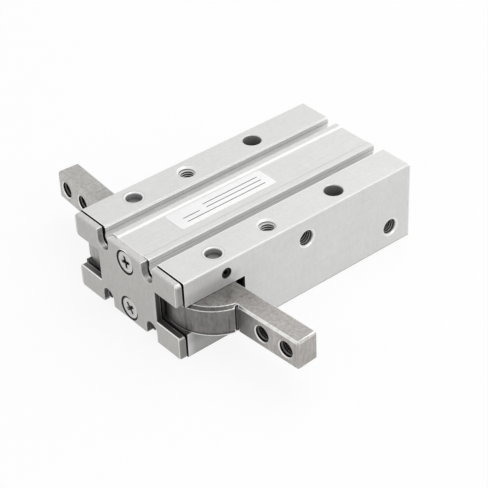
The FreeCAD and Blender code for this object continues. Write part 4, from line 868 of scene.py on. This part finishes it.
class GRIPPER_OT_set_stage(bpy.types.Operator):
    """Sets the floor, the lamps and the camera"""

    bl_idname = "gripper.set_stage"
    bl_label = "Set the stage"

    def execute(self, context):
        self.lay_floor()
        self.hang_lamps()
        self.stand_camera(context.scene)
        context.scene.view_settings.view_transform = "Standard"
        return {"FINISHED"}

    def lay_floor(self):
        """A white floor that keeps the shadow, and a white world."""
        shape = bmesh.new()
        reach, glow_share, world_strength = 3.0, 0.87, 0.58
        bmesh.ops.create_grid(shape, x_segments=1, y_segments=1, size=reach)
        mesh = bpy.data.meshes.new("studio_floor")
        shape.to_mesh(mesh)
        shape.free()
        floor = bpy.data.objects.new("studio_floor", mesh)
        bpy.context.scene.collection.objects.link(floor)
        material = bpy.data.materials.new("floor_white")
        material.use_nodes = True
        tree = material.node_tree
        shader = tree.nodes["Principled BSDF"]
        shader.inputs["Base Color"].default_value = (0.98, 0.98, 0.98, 1.0)
        shader.inputs["Roughness"].default_value = 0.9
        shader.inputs["Specular IOR Level"].default_value = 0.0
        glow = add_node(tree, "ShaderNodeEmission", {"Color": (1.0, 1.0, 1.0, 1.0), "Strength": 1.0})
        share = math_node(tree, "MULTIPLY", self.seen_directly(tree), glow_share)
        self.mix_shaders(tree, share, shader, glow, tree.nodes["Material Output"])
        mesh.materials.append(material)
        world = bpy.data.worlds.new("studio_world")
        bpy.context.scene.world = world
        world.use_nodes = True
        tree = world.node_tree
        light = tree.nodes["Background"]
        light.inputs["Color"].default_value = (1.0, 1.0, 1.0, 1.0)
        light.inputs["Strength"].default_value = world_strength
        seen = add_node(tree, "ShaderNodeBackground", {"Color": (1.0, 1.0, 1.0, 1.0), "Strength": 1.0})
        self.mix_shaders(tree, self.seen_directly(tree), light, seen, tree.nodes["World Output"])

    def seen_directly(self, tree):
        """1 where the camera, a reflection or a clear material sees the white itself."""
        path = add_node(tree, "ShaderNodeLightPath")
        seen = math_node(tree, "MAXIMUM", path.outputs["Is Camera Ray"], path.outputs["Is Glossy Ray"])
        return math_node(tree, "MAXIMUM", seen, path.outputs["Is Transmission Ray"])

    def mix_shaders(self, tree, share, first, second, output):
        """Sends a share of the second shader and the rest of the first to the output."""
        mix = add_node(tree, "ShaderNodeMixShader", {0: share})
        tree.links.new(first.outputs[0], mix.inputs[1])
        tree.links.new(second.outputs[0], mix.inputs[2])
        tree.links.new(mix.outputs[0], output.inputs["Surface"])

    def hang_lamps(self):
        """Soft lamps: one above and behind, one to the right, a weak one in front."""
        lamps = (
            ("key_lamp", (-0.10, 0.48, 0.80), 0.7, 2.6),
            ("side_lamp", (0.68, 0.10, 0.55), 0.5, 1.6),
            ("front_lamp", (0.05, -0.9, 0.45), 0.6, 0.5),
        )
        for name, place, size, power in lamps:
            data = bpy.data.lights.new(name, "AREA")
            data.shape = "SQUARE"
            data.size = size
            data.energy = power
            lamp = bpy.data.objects.new(name, data)
            lamp.location = place
            aim = Vector((0.0, 0.0, 0.01)) - Vector(place)
            lamp.rotation_euler = aim.to_track_quat("-Z", "Y").to_euler()
            bpy.context.scene.collection.objects.link(lamp)

    def stand_camera(self, scene):
        """Stands the camera where the photograph was taken from."""
        azimuth, height, roll = (math.radians(angle) for angle in (51.76, 36.37, -2.685))
        target, distance = Vector((7.264, -6.853, 13.0)) * MM, 467.58 * MM
        back = Vector((math.sin(azimuth) * math.cos(height), -math.cos(azimuth) * math.cos(height),
                       math.sin(height)))
        level = (-back).cross(Vector((0.0, 0.0, 1.0))).normalized()
        upright = level.cross(-back)
        across = level * math.cos(roll) + upright * math.sin(roll)
        up = upright * math.cos(roll) - level * math.sin(roll)
        data = bpy.data.cameras.new("photo_camera")
        data.lens = 117.51
        data.sensor_width = 36.0
        data.clip_start = 0.01
        data.clip_end = 20.0
        camera = bpy.data.objects.new("photo_camera", data)
        turned = Matrix((across, up, back)).transposed().to_4x4()
        camera.matrix_world = Matrix.Translation(target + back * distance) @ turned
        scene.collection.objects.link(camera)
        scene.camera = camera


class GRIPPER_PT_panel(bpy.types.Panel):
    """Lists the gripper's operators, sizes and colours"""

    bl_idname = "GRIPPER_PT_panel"
    bl_label = "Gripper"
    bl_space_type = "VIEW_3D"
    bl_region_type = "UI"
    bl_category = "Gripper"

    def draw(self, context):
        for operator in operators:
            self.layout.operator(operator.bl_idname)
        for group in (context.scene.gripper_sizes, context.scene.gripper_colours):
            for name in group.__annotations__:
                self.layout.prop(group, name)


operators = (
    GRIPPER_OT_finish_alloy,
    GRIPPER_OT_finish_steel,
    GRIPPER_OT_finish_seals,
    GRIPPER_OT_cut_threads,
    GRIPPER_OT_turn_screws,
    GRIPPER_OT_apply_label,
    GRIPPER_OT_set_stage,
)
classes = (GripperSizes, GripperColours, *operators, GRIPPER_PT_panel)


def register():
    """Registers the classes and the settings on the scene."""
    for each in classes:
        bpy.utils.register_class(each)
    bpy.types.Scene.gripper_sizes = bpy.props.PointerProperty(type=GripperSizes)
    bpy.types.Scene.gripper_colours = bpy.props.PointerProperty(type=GripperColours)


def unregister():
    """Takes the settings and the classes away again."""
    del bpy.types.Scene.gripper_colours
    del bpy.types.Scene.gripper_sizes
    for each in reversed(classes):
        bpy.utils.unregister_class(each)


def main():
    """Makes every piece in order."""
    register()
    bpy.ops.gripper.finish_alloy()
    bpy.ops.gripper.finish_steel()
    bpy.ops.gripper.finish_seals()
    bpy.ops.gripper.cut_threads()
    bpy.ops.gripper.turn_screws()
    bpy.ops.gripper.apply_label()
    bpy.ops.gripper.set_stage()


if __name__ == "__main__":
    main()
